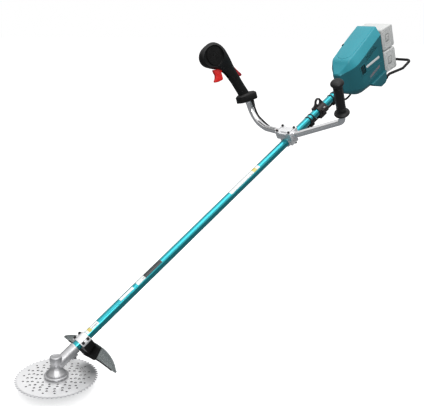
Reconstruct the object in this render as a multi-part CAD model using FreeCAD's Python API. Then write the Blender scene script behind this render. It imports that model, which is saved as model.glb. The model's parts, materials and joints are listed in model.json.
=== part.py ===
"""Battery brush cutter with a saw blade, bicycle handlebar and rear motor, millimetres.

Two working frames share one origin, where the pipe axis meets the blade axis:
- pipe frame: x to the operator's left, y along the pipe towards the motor, z square to both;
- blade frame: x to the left, y level towards the motor, z up along the blade axis.
The row frame is the blade frame moved to the middle of the harness eye.
"""
import FreeCAD, Part
import math
import os
from FreeCAD import Vector, Rotation, Placement

os.makedirs("parts", exist_ok=True)

# ---- driving dimensions ----------------------------------------------------------
RAKE = 31.0                    # pipe rises this many degrees from the blade plane
PIPE_R = 14.0                  # 28 mm main pipe
PIPE_WALL = 1.8
PIPE_FRONT = 40.0
PIPE_REAR = 1438.0
DRIVE_R = 3.5                  # 7 mm drive shaft
RUN_FIT = 0.05                 # radial clearance of shafts in bearings

BLADE_R = 115.0                # 230 mm saw blade
BLADE_THICK = 1.8
BLADE_DROP = 33.5              # blade middle below the frames' origin
BLADE_TEETH = 60
GULLET_DEPTH = 6.0
# rings of lightening holes: count, ring radius, hole radius, first angle
BLADE_HOLES = [(12, 44, 2.4, 0.10), (16, 55, 2.8, 0.32), (20, 67, 3.0, 0.05), (24, 79, 2.8, 0.21),
               (18, 91, 2.2, 0.14)]
ARBOR_R = 12.7                 # 25.4 mm blade bore
SPINDLE_R = 5.0
CASE_LOW = -24.0               # lower face of the gear case
COVER_LOW = -27.0              # lower rim of the dust cover

GEAR_TEETH = 19
PINION_TEETH = 14
CONE_FAR = 22.0                # bevel cone distance at the heel
CONE_NEAR = 12.5
NECK_R = 17.0                  # gear case neck round the pipe
NECK_REAR = 74.0

GUARD_SPAN = 140.0             # half width of the guard
GUARD_THICK = 3.0
GUARD_CLAMP = (86.0, 118.0)    # where the guard's clamp holds the pipe
CLAMP_HALF = 28.0              # half width of that clamp
SCREW_R = 2.5                  # M5 screws all over the machine

BAR_R = 10.5                   # 21 mm handlebar tube
BAR_WALL = 1.6
BAR_Y = 1074.0
BAR_Z = 27.0
BAR_BENDS = [60, 60, 75, 90, 60, 40, 17, 60]
GRIP_BASE = (215.0, 1135.0, 93.0)    # lower end of the left grip; the right one mirrors it
GRIP_LEAN = (26.0, -6.0, 129.0)

# right handle, on the grip's own axis: half width, half depth, shift and height of each section
HEAD_SECTIONS = [(17, 20, 0, 20), (16, 19, 0, 60), (16.5, 20, 0, 105), (18, 24, -2, 140),
                 (21, 33, -8, 163), (25, 44, -18, 183), (27, 53, -27, 206), (25, 50, -31, 230),
                 (19, 37, -31, 247), (10, 20, -29, 257)]
OVAL_SIDES = 16
TRIGGER_PIVOT = (0, -20.0, 160.0)
LEVER_PIVOT = (0, 15.0, 139.0)
PANEL_CENTRE = (0, -28.0, 212.0)
PANEL_R = 33.0
COLLAR_LEAN = -20.0            # the collar dips towards the operator
COLLAR_TALL = 27.0
BOOT_TOP = (-2, 18, -7)
BOOT_LENGTH = 31.0

EYE_Y = 1255.0
EYE_Z = 29.0
EYE_R = 9.5
EYE_THICK = 7.0

CABLE_R = 3.5
CABLE_Z = -(PIPE_R + 8.5)      # cable middle where it runs under the pipe
CLIP_SPANS = [(1180, 1206), (1316, 1342)]
STRAP_WIDE = 5.0

HOUSING_REAR_TOP = 1598.0      # where the hood meets the batteries
HOOD_REAR_Z = 97.0
HOOD_SLOPE = 0.19              # hood parting plane falls towards the nose
REAR_LEAN = 0.185              # rear face and batteries lean back
SHELL = 3.0
# y, half width at the shoulder, plateau half width, top, lower shoulder, belly half width, belly
HOUSING_SECTIONS = [
    (1383, 17, 9, 63, -9, 12, -20),
    (1398, 28, 21, 73, -17, 20, -32),
    (1412, 41, 31, 83, -23, 26, -42),
    (1426, 50, 37, 94, -28, 31, -50),
    (1446, 57, 39, 98, -33, 35, -54),
    (1530, 58, 42, 114, -43, 45, -55),
]
HOUSING_REAR = (58, 41, 127, -47, 48, -54)
WALL_X = HOUSING_REAR[0]
WINDOW = ((1449.0, 18.0), (1474.0, 52.0))   # lower front and upper rear corner of the air intake
LOUVRES = 4
LOUVRE_HIGH = 2.8
SCREW_SPOTS = [(1545, -26), (1548, 64), (1574, 20)]
MOTOR_R = 34.0
FAN_R = 29.0

BATTERY = (113.0, 70.0, 80.0)  # pack width, depth and height
BATTERY_TOP = 14.0             # above the hood parting line, along the rear face
BATTERY_GAP = 6.0
BATTERY_FRONT = 7.0            # packs stand this far behind the housing's rear plane
ROD_R = 4.5
ROD_X = 60.0
ROD_Z = -64.0
ROD_BENDS = [30, 26, 16, 16, 26, 30]
BUSH_R = 7.5
BUSH_SPAN = (1532.0, 1562.0)
FOOT_X = (50.0, 68.0)

# ---- frames ----------------------------------------------------------------------
ORIGIN = Vector(0, 0, 0)
X_AXIS = Vector(1, 0, 0)
Y_AXIS = Vector(0, 1, 0)
Z_AXIS = Vector(0, 0, 1)
PIPE_TILT = Placement(ORIGIN, Rotation(X_AXIS, RAKE))
PIPE_DIR = PIPE_TILT.multVec(Y_AXIS)
EYE = PIPE_TILT.multVec(Vector(0, EYE_Y, EYE_Z))


def tilted(shape):
    """Move a shape from the pipe frame to the blade frame."""
    return shape.transformed(PIPE_TILT.toMatrix())


def untilted(shape):
    """Move a shape from the blade frame to the pipe frame."""
    return shape.transformed(PIPE_TILT.inverse().toMatrix())


def row_point(point, in_pipe_frame=True):
    """A point in the row frame."""
    moved = PIPE_TILT.multVec(point) if in_pipe_frame else point
    return moved - EYE


NODES = {}


def keep(name, shape, in_pipe_frame=True):
    """File a finished piece under its node name, in the row frame."""
    placed = tilted(shape) if in_pipe_frame else shape.copy()
    placed.translate(EYE * -1)
    NODES[name] = placed


# ---- helpers ---------------------------------------------------------------------
def rod(radius, start, end):
    start = Vector(*start)
    end = Vector(*end)
    return Part.makeCylinder(radius, (end - start).Length, start, end - start)


def tube(outer, inner, start, end):
    return rod(outer, start, end).cut(rod(inner, start, end))


def cone(radius_1, radius_2, start, end):
    start = Vector(*start)
    end = Vector(*end)
    return Part.makeCone(radius_1, radius_2, (end - start).Length, start, end - start)


def box(low, high):
    size = [high[i] - low[i] for i in range(3)]
    return Part.makeBox(size[0], size[1], size[2], Vector(*low))


def fused(shapes):
    whole = shapes[0]
    for shape in shapes[1:]:
        whole = whole.fuse(shape)
    return whole.removeSplitter()


def cut_all(shape, tools):
    for tool in tools:
        shape = shape.cut(tool)
    return shape


def group(shapes):
    return Part.makeCompound(shapes)


def outline(points):
    return Part.makePolygon([Vector(*p) for p in points] + [Vector(*points[0])])


def prism(points, sweep):
    return Part.Face(outline(points)).extrude(Vector(*sweep))


def lathe(profile):
    """Turn a list of (radius, height) about z."""
    face = Part.Face(outline([(r, 0, z) for r, z in profile]))
    return face.revolve(ORIGIN, Z_AXIS, 360)


def oval_wire(width, depth, shift, height):
    """Sixteen-sided oval of half sizes width (x) and depth (y), moved by shift along y."""
    places = []
    for i in range(OVAL_SIDES):
        angle = 2 * math.pi * (i + 0.5) / OVAL_SIDES
        places.append((width * math.cos(angle), shift + depth * math.sin(angle), height))
    return outline(places)


def bent_path(points, bend):
    """Straight runs joined by tangent arcs; bend is one radius or one for each corner."""
    pts = [Vector(*p) for p in points]
    bends = bend if isinstance(bend, list) else [bend] * (len(pts) - 2)
    edges = []
    here = pts[0]
    for i in range(1, len(pts) - 1):
        back = (pts[i - 1] - pts[i]).normalize()
        ahead = (pts[i + 1] - pts[i]).normalize()
        turn = math.pi - back.getAngle(ahead)
        reach = bends[i - 1] * math.tan(turn / 2)
        arc_start = pts[i] + back * reach
        arc_end = pts[i] + ahead * reach
        middle = (back + ahead).normalize()
        to_centre = bends[i - 1] / math.cos(turn / 2)
        arc_middle = pts[i] + middle * (to_centre - bends[i - 1])
        edges.append(Part.LineSegment(here, arc_start).toShape())
        edges.append(Part.Arc(arc_start, arc_middle, arc_end).toShape())
        here = arc_end
    edges.append(Part.LineSegment(here, pts[-1]).toShape())
    return Part.Wire(edges)


def largest_bends(points):
    """The largest tangent arcs that each corner's two runs allow."""
    pts = [Vector(*p) for p in points]
    radii = []
    for i in range(1, len(pts) - 1):
        run_in = pts[i] - pts[i - 1]
        run_out = pts[i + 1] - pts[i]
        turn = run_in.getAngle(run_out)
        radii.append(0.45 * min(run_in.Length, run_out.Length) / math.tan(turn / 2))
    return radii


def swept_rod(path, points, radius):
    start = Vector(*points[0])
    heading = Vector(*points[1]) - start
    profile = Part.Wire([Part.makeCircle(radius, start, heading)])
    return path.makePipeShell([profile], True, False)


def ring_of(count, radius, first=0.0):
    """Evenly spaced (x, y) places on a circle."""
    return [(radius * math.cos(first + 2 * math.pi * i / count),
             radius * math.sin(first + 2 * math.pi * i / count)) for i in range(count)]


def bolt(head_r, head_h, shank_r, length, top, direction):
    """A cap screw: its head stands on the point top, its shank goes along direction."""
    top = Vector(*top)
    direction = Vector(*direction).normalize()
    head = Part.makeCylinder(head_r, head_h, top, direction * -1)
    socket = Part.makeCylinder(head_r * 0.5, head_h * 0.5, top - direction * head_h, direction)
    shank = Part.makeCylinder(shank_r, length, top, direction)
    return head.cut(socket).fuse(shank)


# ---- bevel gears -----------------------------------------------------------------
SHAFT_ANGLE = math.radians(90 - RAKE)
GEAR_RATIO = GEAR_TEETH / PINION_TEETH
PINION_CONE = math.atan2(math.sin(SHAFT_ANGLE), GEAR_RATIO + math.cos(SHAFT_ANGLE))
GEAR_CONE = SHAFT_ANGLE - PINION_CONE
TOOTH_MODULE = 2 * CONE_FAR * math.sin(PINION_CONE) / PINION_TEETH
TOOTH_UP = 0.7 * TOOTH_MODULE
TOOTH_DOWN = 1.05 * TOOTH_MODULE


def bevel_gear(teeth, cone_angle, gap_at_contact, bore, hub_r, hub_end):
    """Straight bevel gear about z, its apex at the origin, its contact line towards +y."""
    along = Vector(0, math.sin(cone_angle), math.cos(cone_angle))
    out = Vector(0, math.cos(cone_angle), -math.sin(cone_angle))
    side = Vector(1, 0, 0)

    def at(distance, lift):
        point = along * distance + out * lift
        return (point.y, point.z)

    shrink = CONE_NEAR / CONE_FAR
    body = lathe([at(CONE_FAR, TOOTH_UP), at(CONE_FAR, -3.4), (bore, at(CONE_FAR, -3.4)[1]),
                  (bore, at(CONE_NEAR, -2.0)[1]), at(CONE_NEAR, -2.0), at(CONE_NEAR, TOOTH_UP * shrink)])
    hub = tube(hub_r, bore, (0, 0, at(CONE_NEAR, -2.0)[1]), (0, 0, hub_end))
    pitch = 2 * math.pi * math.sin(cone_angle) * CONE_FAR / teeth
    floor_half = 0.25 * pitch
    mouth_half = 0.47 * pitch
    corners = [(-floor_half, -TOOTH_DOWN), (floor_half, -TOOTH_DOWN),
               (mouth_half, 1.6 * TOOTH_UP), (-mouth_half, 1.6 * TOOTH_UP)]

    def gap_outline(scale):
        points = [along * CONE_FAR + side * wide + out * high for wide, high in corners]
        return outline([tuple(p * scale) for p in points])

    gap = Part.makeLoft([gap_outline(0.4), gap_outline(1.2)], True, True)
    first = 0.0 if gap_at_contact else 180.0 / teeth
    gaps = []
    for i in range(teeth):
        turned = gap.copy()
        turned.rotate(ORIGIN, Z_AXIS, first + 360.0 * i / teeth)
        gaps.append(turned)
    return cut_all(body, gaps).fuse(hub).removeSplitter()


# ---- gear head and cutting tool (blade frame) ------------------------------------
def gear_head():
    head = lathe([(0, 31), (13.5, 31), (17, 28), (17, 17), (14.8, 7), (15.2, 0),
                  (28.5, -21), (28.5, CASE_LOW), (0, CASE_LOW)])
    neck = tilted(rod(NECK_R, (0, 6, 0), (0, NECK_REAR, 0)))
    boss = tilted(box((-5, 44, -24), (5, 66, -10)))
    hollow = lathe([(0, 28.5), (11, 28.5), (11, 22.5), (14.2, 22.5), (14.2, 9), (9, 5), (9, -11),
                    (13, -11), (13, CASE_LOW - 1), (0, CASE_LOW - 1)])
    pinion_bore = tilted(rod(11, (0, 8, 0), (0, PIPE_FRONT, 0)))
    pipe_seat = tilted(rod(PIPE_R, (0, PIPE_FRONT, 0), (0, NECK_REAR + 1, 0)))
    screw_hole = tilted(rod(SCREW_R, (0, 55, -30), (0, 55, -PIPE_R)))
    case = head.fuse([neck, boss]).cut(group([hollow, pinion_bore])).cut(pipe_seat).cut(screw_hole)
    keep("gear_case", case.removeSplitter(), False)

    lock_screw = bolt(4.2, 4, SCREW_R, 24 - PIPE_R, (0, 55, -24), (0, 0, 1))
    keep("gear_case_lock_screw", lock_screw)

    upper_bearing = tube(11, SPINDLE_R - 1 + RUN_FIT, (0, 0, 22.5), (0, 0, 28))
    lower_bearing = tube(13, SPINDLE_R + RUN_FIT, (0, 0, -21), (0, 0, -11))
    keep("spindle_bearings", group([upper_bearing, lower_bearing]), False)
    keep("pinion_bearing", tube(11, 4 + RUN_FIT, (0, 24, 0), (0, 36, 0)))

    cover = lathe([(17, CASE_LOW), (31, CASE_LOW), (34, CASE_LOW - 1.6), (34, COVER_LOW),
                   (32.5, COVER_LOW), (32.5, CASE_LOW - 1.8), (17, CASE_LOW - 1.8)])
    keep("dust_cover", cover, False)


def cutting_tool():
    top = -BLADE_DROP + BLADE_THICK / 2
    low = -BLADE_DROP - BLADE_THICK / 2
    spindle = fused([rod(SPINDLE_R, (0, 0, low - 9), (0, 0, 22.5)),
                     rod(SPINDLE_R - 1, (0, 0, 22.5), (0, 0, 28))])
    keep("spindle", spindle, False)
    crown = bevel_gear(GEAR_TEETH, GEAR_CONE, True, SPINDLE_R, 6.6, 21.8)
    keep("driven_bevel_gear", crown, False)

    flange = lathe([(SPINDLE_R, -22), (8, -22), (8, -28), (25, -28), (27, top + 1.5), (27, top),
                    (ARBOR_R, top), (ARBOR_R, low + 0.2), (SPINDLE_R, low + 0.2)])
    keep("blade_receiver_flange", flange, False)

    points = []
    pitch = 2 * math.pi / BLADE_TEETH
    gullet_r = BLADE_R - GULLET_DEPTH
    for i in range(BLADE_TEETH):
        turn = i * pitch
        for radius, share in ((BLADE_R, 0.0), (BLADE_R - 1.0, 0.22), (gullet_r, 0.62), (gullet_r, 0.92)):
            angle = turn + share * pitch
            points.append((radius * math.cos(angle), radius * math.sin(angle), low))
    blade = prism(points, (0, 0, BLADE_THICK))
    holes = [rod(ARBOR_R, (0, 0, low - 1), (0, 0, top + 1))]
    for count, radius, hole_r, first in BLADE_HOLES:
        for x, y in ring_of(count, radius, first):
            holes.append(rod(hole_r, (x, y, low - 1), (x, y, top + 1)))
    keep("saw_blade", blade.cut(group(holes)), False)

    washer = lathe([(SPINDLE_R, low), (24, low), (24, low - 1.5), (17, low - 3.5), (SPINDLE_R, low - 3.5)])
    keep("clamp_washer", washer, False)
    nut = prism([(10 * math.cos(k * math.pi / 3), 10 * math.sin(k * math.pi / 3), low - 12)
                 for k in range(6)], (0, 0, 8.5))
    keep("blade_nut", nut.cut(rod(SPINDLE_R, (0, 0, low - 14), (0, 0, low))), False)


# ---- guard -----------------------------------------------------------------------
def guard_section(share, side, thick):
    """The guard's leaning section at a share of its half span, in the blade frame."""
    x = side * share * GUARD_SPAN
    low_y = 97 + 9 * math.sin(math.radians(90 * min(1.0, 2 * share)))
    low_z = 4 - 6 * share
    high_y = 112 + 60 * share * (1 - share) - 8 * share * share
    high_z = 42 - 32 * share ** 1.1
    return outline([(x, low_y, low_z), (x, low_y + thick, low_z),
                    (x, high_y + thick, high_z), (x, high_y, high_z)])


def guard():
    clamp_from, clamp_to = GUARD_CLAMP
    steps = 8
    wires = [guard_section(i / steps, -1, GUARD_THICK) for i in range(steps, 0, -1)]
    wires += [guard_section(i / steps, 1, GUARD_THICK) for i in range(steps + 1)]
    shield = Part.makeLoft(wires, True, True)
    keep("guard_shield", shield, False)

    shares = ((0.30, -1), (0.15, -1), (0.0, 1), (0.15, 1), (0.30, 1))
    inner = [guard_section(share, side, -7) for share, side in shares]
    web = untilted(Part.makeLoft(inner, True, True))
    saddle = box((-CLAMP_HALF, clamp_from, -24), (CLAMP_HALF, clamp_to, -0.5))
    leg = box((-20, clamp_from + 4, -44), (20, clamp_to, -22))
    bracket = saddle.fuse([leg, web]).cut(rod(PIPE_R, (0, clamp_from - 40, 0), (0, clamp_to + 40, 0)))
    bracket = bracket.cut(untilted(shield)).cut(untilted(rod(BLADE_R + 6, (0, 0, -90), (0, 0, -4))))
    bolts = [(x, y) for x in (-23, 23) for y in (clamp_from + 7, clamp_to - 7)]
    holes = [rod(SCREW_R, (x, y, -20), (x, y, 24)) for x, y in bolts]
    bracket = max(bracket.cut(group(holes)).Solids, key=lambda s: s.Volume)
    keep("guard_bracket", bracket)

    wings = box((-CLAMP_HALF, clamp_from, 0.5), (CLAMP_HALF, clamp_to, 6))
    cap = rod(PIPE_R + 4, (0, clamp_from, 0), (0, clamp_to, 0)).fuse(wings)
    cap = cap.cut(box((-40, 0, -40), (40, 200, 0.5))).cut(rod(PIPE_R, (0, 0, 0), (0, 200, 0)))
    keep("guard_clamp", cap.cut(group(holes)).removeSplitter())
    keep("guard_bolts", group([bolt(4.5, 4, SCREW_R, 24, (x, y, 6), (0, 0, -1)) for x, y in bolts]))


# ---- pipe and drive shaft --------------------------------------------------------
def pipe_line():
    keep("main_pipe", tube(PIPE_R, PIPE_R - PIPE_WALL, (0, PIPE_FRONT, 0), (0, PIPE_REAR, 0)))
    bushes = [tube(PIPE_R - PIPE_WALL, DRIVE_R + RUN_FIT, (0, y, 0), (0, y + 22, 0))
              for y in (160, 420, 680, 940, 1200, 1400)]
    keep("shaft_bushes", group(bushes))
    keep("drive_shaft", rod(DRIVE_R, (0, 38, 0), (0, 1440, 0)))
    pinion = bevel_gear(PINION_TEETH, PINION_CONE, False, 2.2, 4.0, 38)
    pinion = pinion.fuse(rod(2.3, (0, 0, 12), (0, 0, 38))).removeSplitter()
    pinion.rotate(ORIGIN, X_AXIS, -90)
    pinion.rotate(ORIGIN, Y_AXIS, 180)
    keep("bevel_pinion", pinion)


# ---- handlebar -------------------------------------------------------------------
def bar_route():
    """Handlebar centre line from the right grip to the left grip, in the pipe frame."""
    gx, gy, gz = GRIP_BASE
    lx, ly, lz = GRIP_LEAN
    reach = 0.75
    return [(-gx - lx * reach, gy + ly * reach, gz + lz * reach), (-gx, gy, gz - 8),
            (-206, 1125, 47), (-170, 1107, 22), (-118, 1090, 16), (-46, BAR_Y, BAR_Z),
            (46, BAR_Y, BAR_Z), (207, 1133, 63), (gx, gy, gz),
            (gx + lx * reach, gy + ly * reach, gz + lz * reach)]


def bar_solid(radius):
    points = bar_route()
    return swept_rod(bent_path(points, BAR_BENDS), points, radius)


def handlebar_parts():
    keep("handlebar", bar_solid(BAR_R).cut(bar_solid(BAR_R - BAR_WALL)))


def handlebar_clamp():
    half = 34.0
    front = BAR_Y - 21.0
    rear = BAR_Y + 21.0
    top = BAR_Z + BAR_R + 3.0
    split_low = -0.5
    bar_bore = rod(BAR_R + RUN_FIT, (-60, BAR_Y, BAR_Z), (60, BAR_Y, BAR_Z))
    pipe_bore = rod(PIPE_R, (0, front - 9, 0), (0, rear + 9, 0))
    bolt_spots = [(x, BAR_Y + y) for x in (-26, 26) for y in (-15.5, 15.5)]
    shanks = group([rod(SCREW_R, (x, y, 0), (x, y, top + 1)) for x, y in bolt_spots])

    saddle = box((-half, front, 12), (half, rear, BAR_Z - 0.4))
    collar = rod(PIPE_R + 4.5, (0, front, 0), (0, rear, 0))
    ears = box((-25, front + 4, 0.5), (25, rear - 4, 8))
    upper = saddle.fuse([collar, ears]).cut(box((-60, front - 1, -60), (60, rear + 1, 0.5)))
    upper = upper.cut(bar_bore).cut(pipe_bore).cut(shanks)
    pinch = [(x, BAR_Y + 4) for x in (-21, 21)]
    pinch_holes = group([rod(SCREW_R, (x, y, -30), (x, y, 8)) for x, y in pinch])
    keep("bar_clamp_saddle", upper.cut(pinch_holes).removeSplitter())

    lower = collar.fuse(box((-25, front + 4, -12), (25, rear - 4, split_low)))
    lower = lower.cut(box((-60, front - 1, split_low), (60, rear + 1, 60))).cut(pipe_bore)
    keep("bar_clamp_lower", lower.cut(pinch_holes).removeSplitter())

    cap = box((-half, front, BAR_Z + 0.4), (half, rear, top)).cut(bar_bore).cut(shanks)
    window = box((-17, front - 1, top - 4), (17, BAR_Y - 12, top + 1))
    window_2 = box((-17, BAR_Y + 12, top - 4), (17, rear + 1, top + 1))
    keep("bar_clamp_cap", cap.cut(window).cut(window_2))
    top_bolts = [bolt(4.2, 4.5, SCREW_R, 28, (x, y, top), (0, 0, -1)) for x, y in bolt_spots]
    pinch_bolts = [bolt(4.2, 4.5, SCREW_R, 19, (x, y, -12), (0, 0, 1)) for x, y in pinch]
    keep("bar_clamp_bolts", group(top_bolts + pinch_bolts))


# ---- grips -----------------------------------------------------------------------
def grip_frame(side):
    """Placement that stands local z on a grip's axis: side +1 is left, -1 is right."""
    lean = Vector(side * GRIP_LEAN[0], GRIP_LEAN[1], GRIP_LEAN[2])
    base = Vector(side * GRIP_BASE[0], GRIP_BASE[1], GRIP_BASE[2])
    return Placement(base, Rotation(Z_AXIS, lean))


def keep_on_grip(name, shape, side, clear_of=None):
    """File a piece drawn on a grip's axis, cut clear of another solid where one is given."""
    placed = shape.transformed(grip_frame(side).toMatrix())
    keep(name, placed.cut(clear_of) if clear_of else placed)


def left_grip():
    rubber = lathe([(0, 134), (8, 134), (17, 130), (21, 124), (21, 119), (16, 114), (16.5, 60),
                    (17, 14), (24, 8), (25, 4), (24, 0), (0, 0)])
    keep_on_grip("left_grip", rubber, 1, bar_solid(BAR_R))


def handle_blank(inset):
    """The handle's outer form, or its hollow without the domed top where inset is not 0."""
    sections = HEAD_SECTIONS if inset == 0 else HEAD_SECTIONS[:-1]
    wires = [oval_wire(wide - inset, deep - inset, shift, high) for wide, deep, shift, high in sections]
    return Part.makeLoft(wires, True, True)


def trigger_shape():
    _, y, z = TRIGGER_PIVOT
    blade = prism([(-6, y + 6, z + 5), (-6, y - 18, z + 6), (-6, y - 26, z + 7), (-6, y - 38, z + 15),
                   (-6, y - 42, z - 5), (-6, y - 48, z - 14), (-6, y - 60, z - 22), (-6, y - 52, z - 29),
                   (-6, y - 26, z - 35), (-6, y - 15, z - 12), (-6, y + 6, z - 6)], (12, 0, 0))
    return blade.cut(rod(1.55, (-9, y, z), (9, y, z)))


def lever_shape():
    _, y, z = LEVER_PIVOT
    blade = prism([(-5, y - 5, z + 4), (-5, y + 5, z + 4), (-5, y + 11, z - 20), (-5, y + 19, z - 47),
                   (-5, y + 13, z - 52), (-5, y + 4, z - 44), (-5, y - 2, z - 10), (-5, y - 5, z - 6)],
                  (10, 0, 0))
    return blade.cut(rod(1.55, (-9, y, z), (9, y, z)))


def collar_shape():
    """Eight-sided block with a chamfered upper edge, leaning over the foot of the handle."""
    corners = [(-24, -20), (-13, -34), (13, -34), (24, -20), (24, 22), (13, 35), (-13, 35), (-24, 22)]
    levels = [(0.0, 0.92), (5.0, 1.0), (COLLAR_TALL - 8.0, 1.0), (COLLAR_TALL, 0.78)]
    wires = [outline([(x * share, y * share, high) for x, y in corners]) for high, share in levels]
    block = Part.makeLoft(wires, True, True)
    block.rotate(ORIGIN, X_AXIS, COLLAR_LEAN)
    return block


def right_handle():
    outer = handle_blank(0)
    inner = handle_blank(SHELL).common(box((-60, -120, 24), (60, 60, 246)))
    collar = collar_shape()
    tube_and_boot = bar_solid(BAR_R).fuse(cable_boot())
    trigger = trigger_shape()
    lever = lever_shape()
    trigger_slot = box((-7, -90, 115), (7, -6, 168))
    lever_slot = box((-6, 4, 80), (6, 70, 145))
    cx, cy, cz = PANEL_CENTRE
    recess = cone(PANEL_R, PANEL_R + 4, (16, cy, cz), (40, cy, cz))
    keep_on_grip("handle_collar", collar.cut(outer), -1, tube_and_boot)
    shell = outer.cut(inner).cut(trigger_slot).cut(lever_slot).cut(recess)
    floor = rod(PANEL_R, (13, cy, cz), (16, cy, cz)).common(outer)
    button_hole = rod(5.3, (10, cy, cz + 6), (20, cy, cz + 6))
    keep_on_grip("control_panel", floor.cut(button_hole), -1)
    shell = shell.cut(floor)
    pins = [rod(1.5, (-12, p[1], p[2]), (12, p[1], p[2])) for p in (TRIGGER_PIVOT, LEVER_PIVOT)]
    shell = shell.cut(group(pins))
    left = shell.common(box((0, -150, -50), (90, 90, 300)))
    right = shell.common(box((-90, -150, -50), (0, 90, 300)))
    keep_on_grip("handle_shell_inner", max(left.Solids, key=lambda s: s.Volume), -1, tube_and_boot)
    keep_on_grip("handle_shell_outer", max(right.Solids, key=lambda s: s.Volume), -1, tube_and_boot)
    keep_on_grip("trigger", trigger, -1)
    keep_on_grip("lock_off_lever", lever, -1)
    keep_on_grip("handle_pins", group(pins), -1)
    button = fused([rod(5.0, (13.5, cy, cz + 6), (18, cy, cz + 6)),
                    rod(6.2, (9.5, cy, cz + 6), (11.0, cy, cz + 6)),
                    rod(4.0, (11, cy, cz + 6), (13.5, cy, cz + 6))])
    keep_on_grip("power_button", button, -1)
    keep_on_grip("trigger_switch", box((-7, -10, 118), (7, 2, 140)), -1)


# ---- control cable ---------------------------------------------------------------
BOOT_AIM = Vector(8, -7, -29).normalize()


def boot_ends():
    top = grip_frame(-1).multVec(Vector(*BOOT_TOP))
    return top, top + BOOT_AIM * BOOT_LENGTH


def cable_boot():
    top, exit_point = boot_ends()
    stem = rod(5.0, tuple(top - BOOT_AIM * 6), tuple(top))
    return cone(8.0, 4.6, tuple(top), tuple(exit_point)).fuse(stem).removeSplitter()


def cable_route():
    """From the boot behind the handlebar, under the pipe through its clips, into the housing."""
    _, exit_point = boot_ends()
    leaving = exit_point + BOOT_AIM * 34
    return [tuple(exit_point), tuple(leaving), (-146, 1124, -2), (-94, 1109, -9), (-42, 1113, -18),
            (-9, 1134, CABLE_Z), (0, 1158, CABLE_Z), (0, 1362, CABLE_Z), (0, 1384, -50), (0, 1410, -54),
            (0, 1446, -44)]


def cable_solid(radius):
    points = cable_route()
    return swept_rod(bent_path(points, largest_bends(points)), points, radius)


def control_cable():
    keep("cable_boot", cable_boot())
    print("control cable arcs, mm:", [round(r, 1) for r in largest_bends(cable_route())])
    keep("control_cable", cable_solid(CABLE_R))


def cable_clip(y_from, y_to):
    """Cradle below the pipe that carries the cable, held by two thin straps over the top."""
    cradle = tube(PIPE_R + 2.8, PIPE_R, (0, y_from, 0), (0, y_to, 0))
    cradle = cradle.common(box((-30, y_from, -30), (30, y_to, 2)))
    straps = [tube(PIPE_R + 1.6, PIPE_R, (0, y, 0), (0, y + STRAP_WIDE, 0))
              for y in (y_from + 2, y_to - 2 - STRAP_WIDE)]
    block = box((-7, y_from + 3, CABLE_Z - 6), (7, y_to - 3, -PIPE_R - 1))
    whole = fused([cradle, block] + straps).cut(rod(PIPE_R, (0, y_from - 1, 0), (0, y_to + 1, 0)))
    return whole.cut(rod(CABLE_R, (0, y_from - 1, CABLE_Z), (0, y_to + 1, CABLE_Z))).removeSplitter()


def harness_hanger():
    y_from = EYE_Y - 20.0
    y_to = EYE_Y + 20.0
    plate_half = EYE_THICK / 2
    pipe_bore = rod(PIPE_R, (0, y_from - 40, 0), (0, y_to + 40, 0))
    split = box((-60, y_from - 60, -0.4), (60, y_to + 60, 0.4))
    eye_outer = rod(15.0, (-plate_half, EYE_Y, EYE_Z), (plate_half, EYE_Y, EYE_Z))
    root = prism([(-plate_half, EYE_Y - 30, 13), (-plate_half, EYE_Y + 24, 13),
                  (-plate_half, EYE_Y + 11, EYE_Z + 9), (-plate_half, EYE_Y - 12, EYE_Z + 8)],
                 (EYE_THICK, 0, 0))
    lug = box((-27, y_from + 5, -8), (27, y_to - 5, 8))
    band = rod(PIPE_R + 4, (0, y_from, 0), (0, y_to, 0)).fuse(lug)
    eye_hole = rod(EYE_R, (-plate_half - 1, EYE_Y, EYE_Z), (plate_half + 1, EYE_Y, EYE_Z))
    screws = [(x, EYE_Y) for x in (-22.5, 22.5)]
    holes = group([rod(SCREW_R, (x, y, -20), (x, y, 20)) for x, y in screws])
    above = box((-60, y_from - 60, 0.4), (60, y_to + 60, 80))
    below = box((-60, y_from - 60, -60), (60, y_to + 60, -0.4))
    upper = band.common(above).fuse([root, eye_outer]).cut(eye_hole).cut(pipe_bore).cut(holes)
    keep("harness_hanger", upper.removeSplitter())
    keel = box((-9, y_from + 3, CABLE_Z - 7), (9, y_to - 3, -PIPE_R - 1))
    lower = band.fuse(keel).common(below).cut(pipe_bore).cut(holes)
    lower = lower.cut(rod(CABLE_R, (0, y_from - 1, CABLE_Z), (0, y_to + 1, CABLE_Z)))
    keep("hanger_lower_half", lower.cut(split).removeSplitter())
    keep("hanger_screws", group([bolt(4.2, 3, SCREW_R, 16, (x, y, 8), (0, 0, -1)) for x, y in screws]))


# ---- motor housing ---------------------------------------------------------------
def hood_plane(y):
    return HOOD_REAR_Z - HOOD_SLOPE * (HOUSING_REAR_TOP - y)


def rear_y(z):
    """The leaning rear face of the housing."""
    return HOUSING_REAR_TOP - REAR_LEAN * (HOOD_REAR_Z - z)


def housing_outline(y, shoulder, plateau, top, low, belly, bottom, inset, leaning=False):
    seam = hood_plane(y)
    corners = [(plateau - 0.4 * inset, top - inset), (shoulder - inset, seam),
               (shoulder - inset, low + 0.3 * inset), (belly - 0.4 * inset, bottom + inset)]
    ring = corners + [(-x, z) for x, z in reversed(corners)]
    return outline([(x, rear_y(z) if leaning else y, z) for x, z in ring])


def housing_blank(inset):
    wires = []
    for y, shoulder, plateau, top, low, belly, bottom in HOUSING_SECTIONS:
        if y == HOUSING_SECTIONS[0][0]:
            y += inset
        wires.append(housing_outline(y, shoulder, plateau, top, low, belly, bottom, inset))
    wires.append(housing_outline(HOUSING_REAR_TOP, *HOUSING_REAR, inset, leaning=True))
    return Part.makeLoft(wires, True, True)


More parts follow.
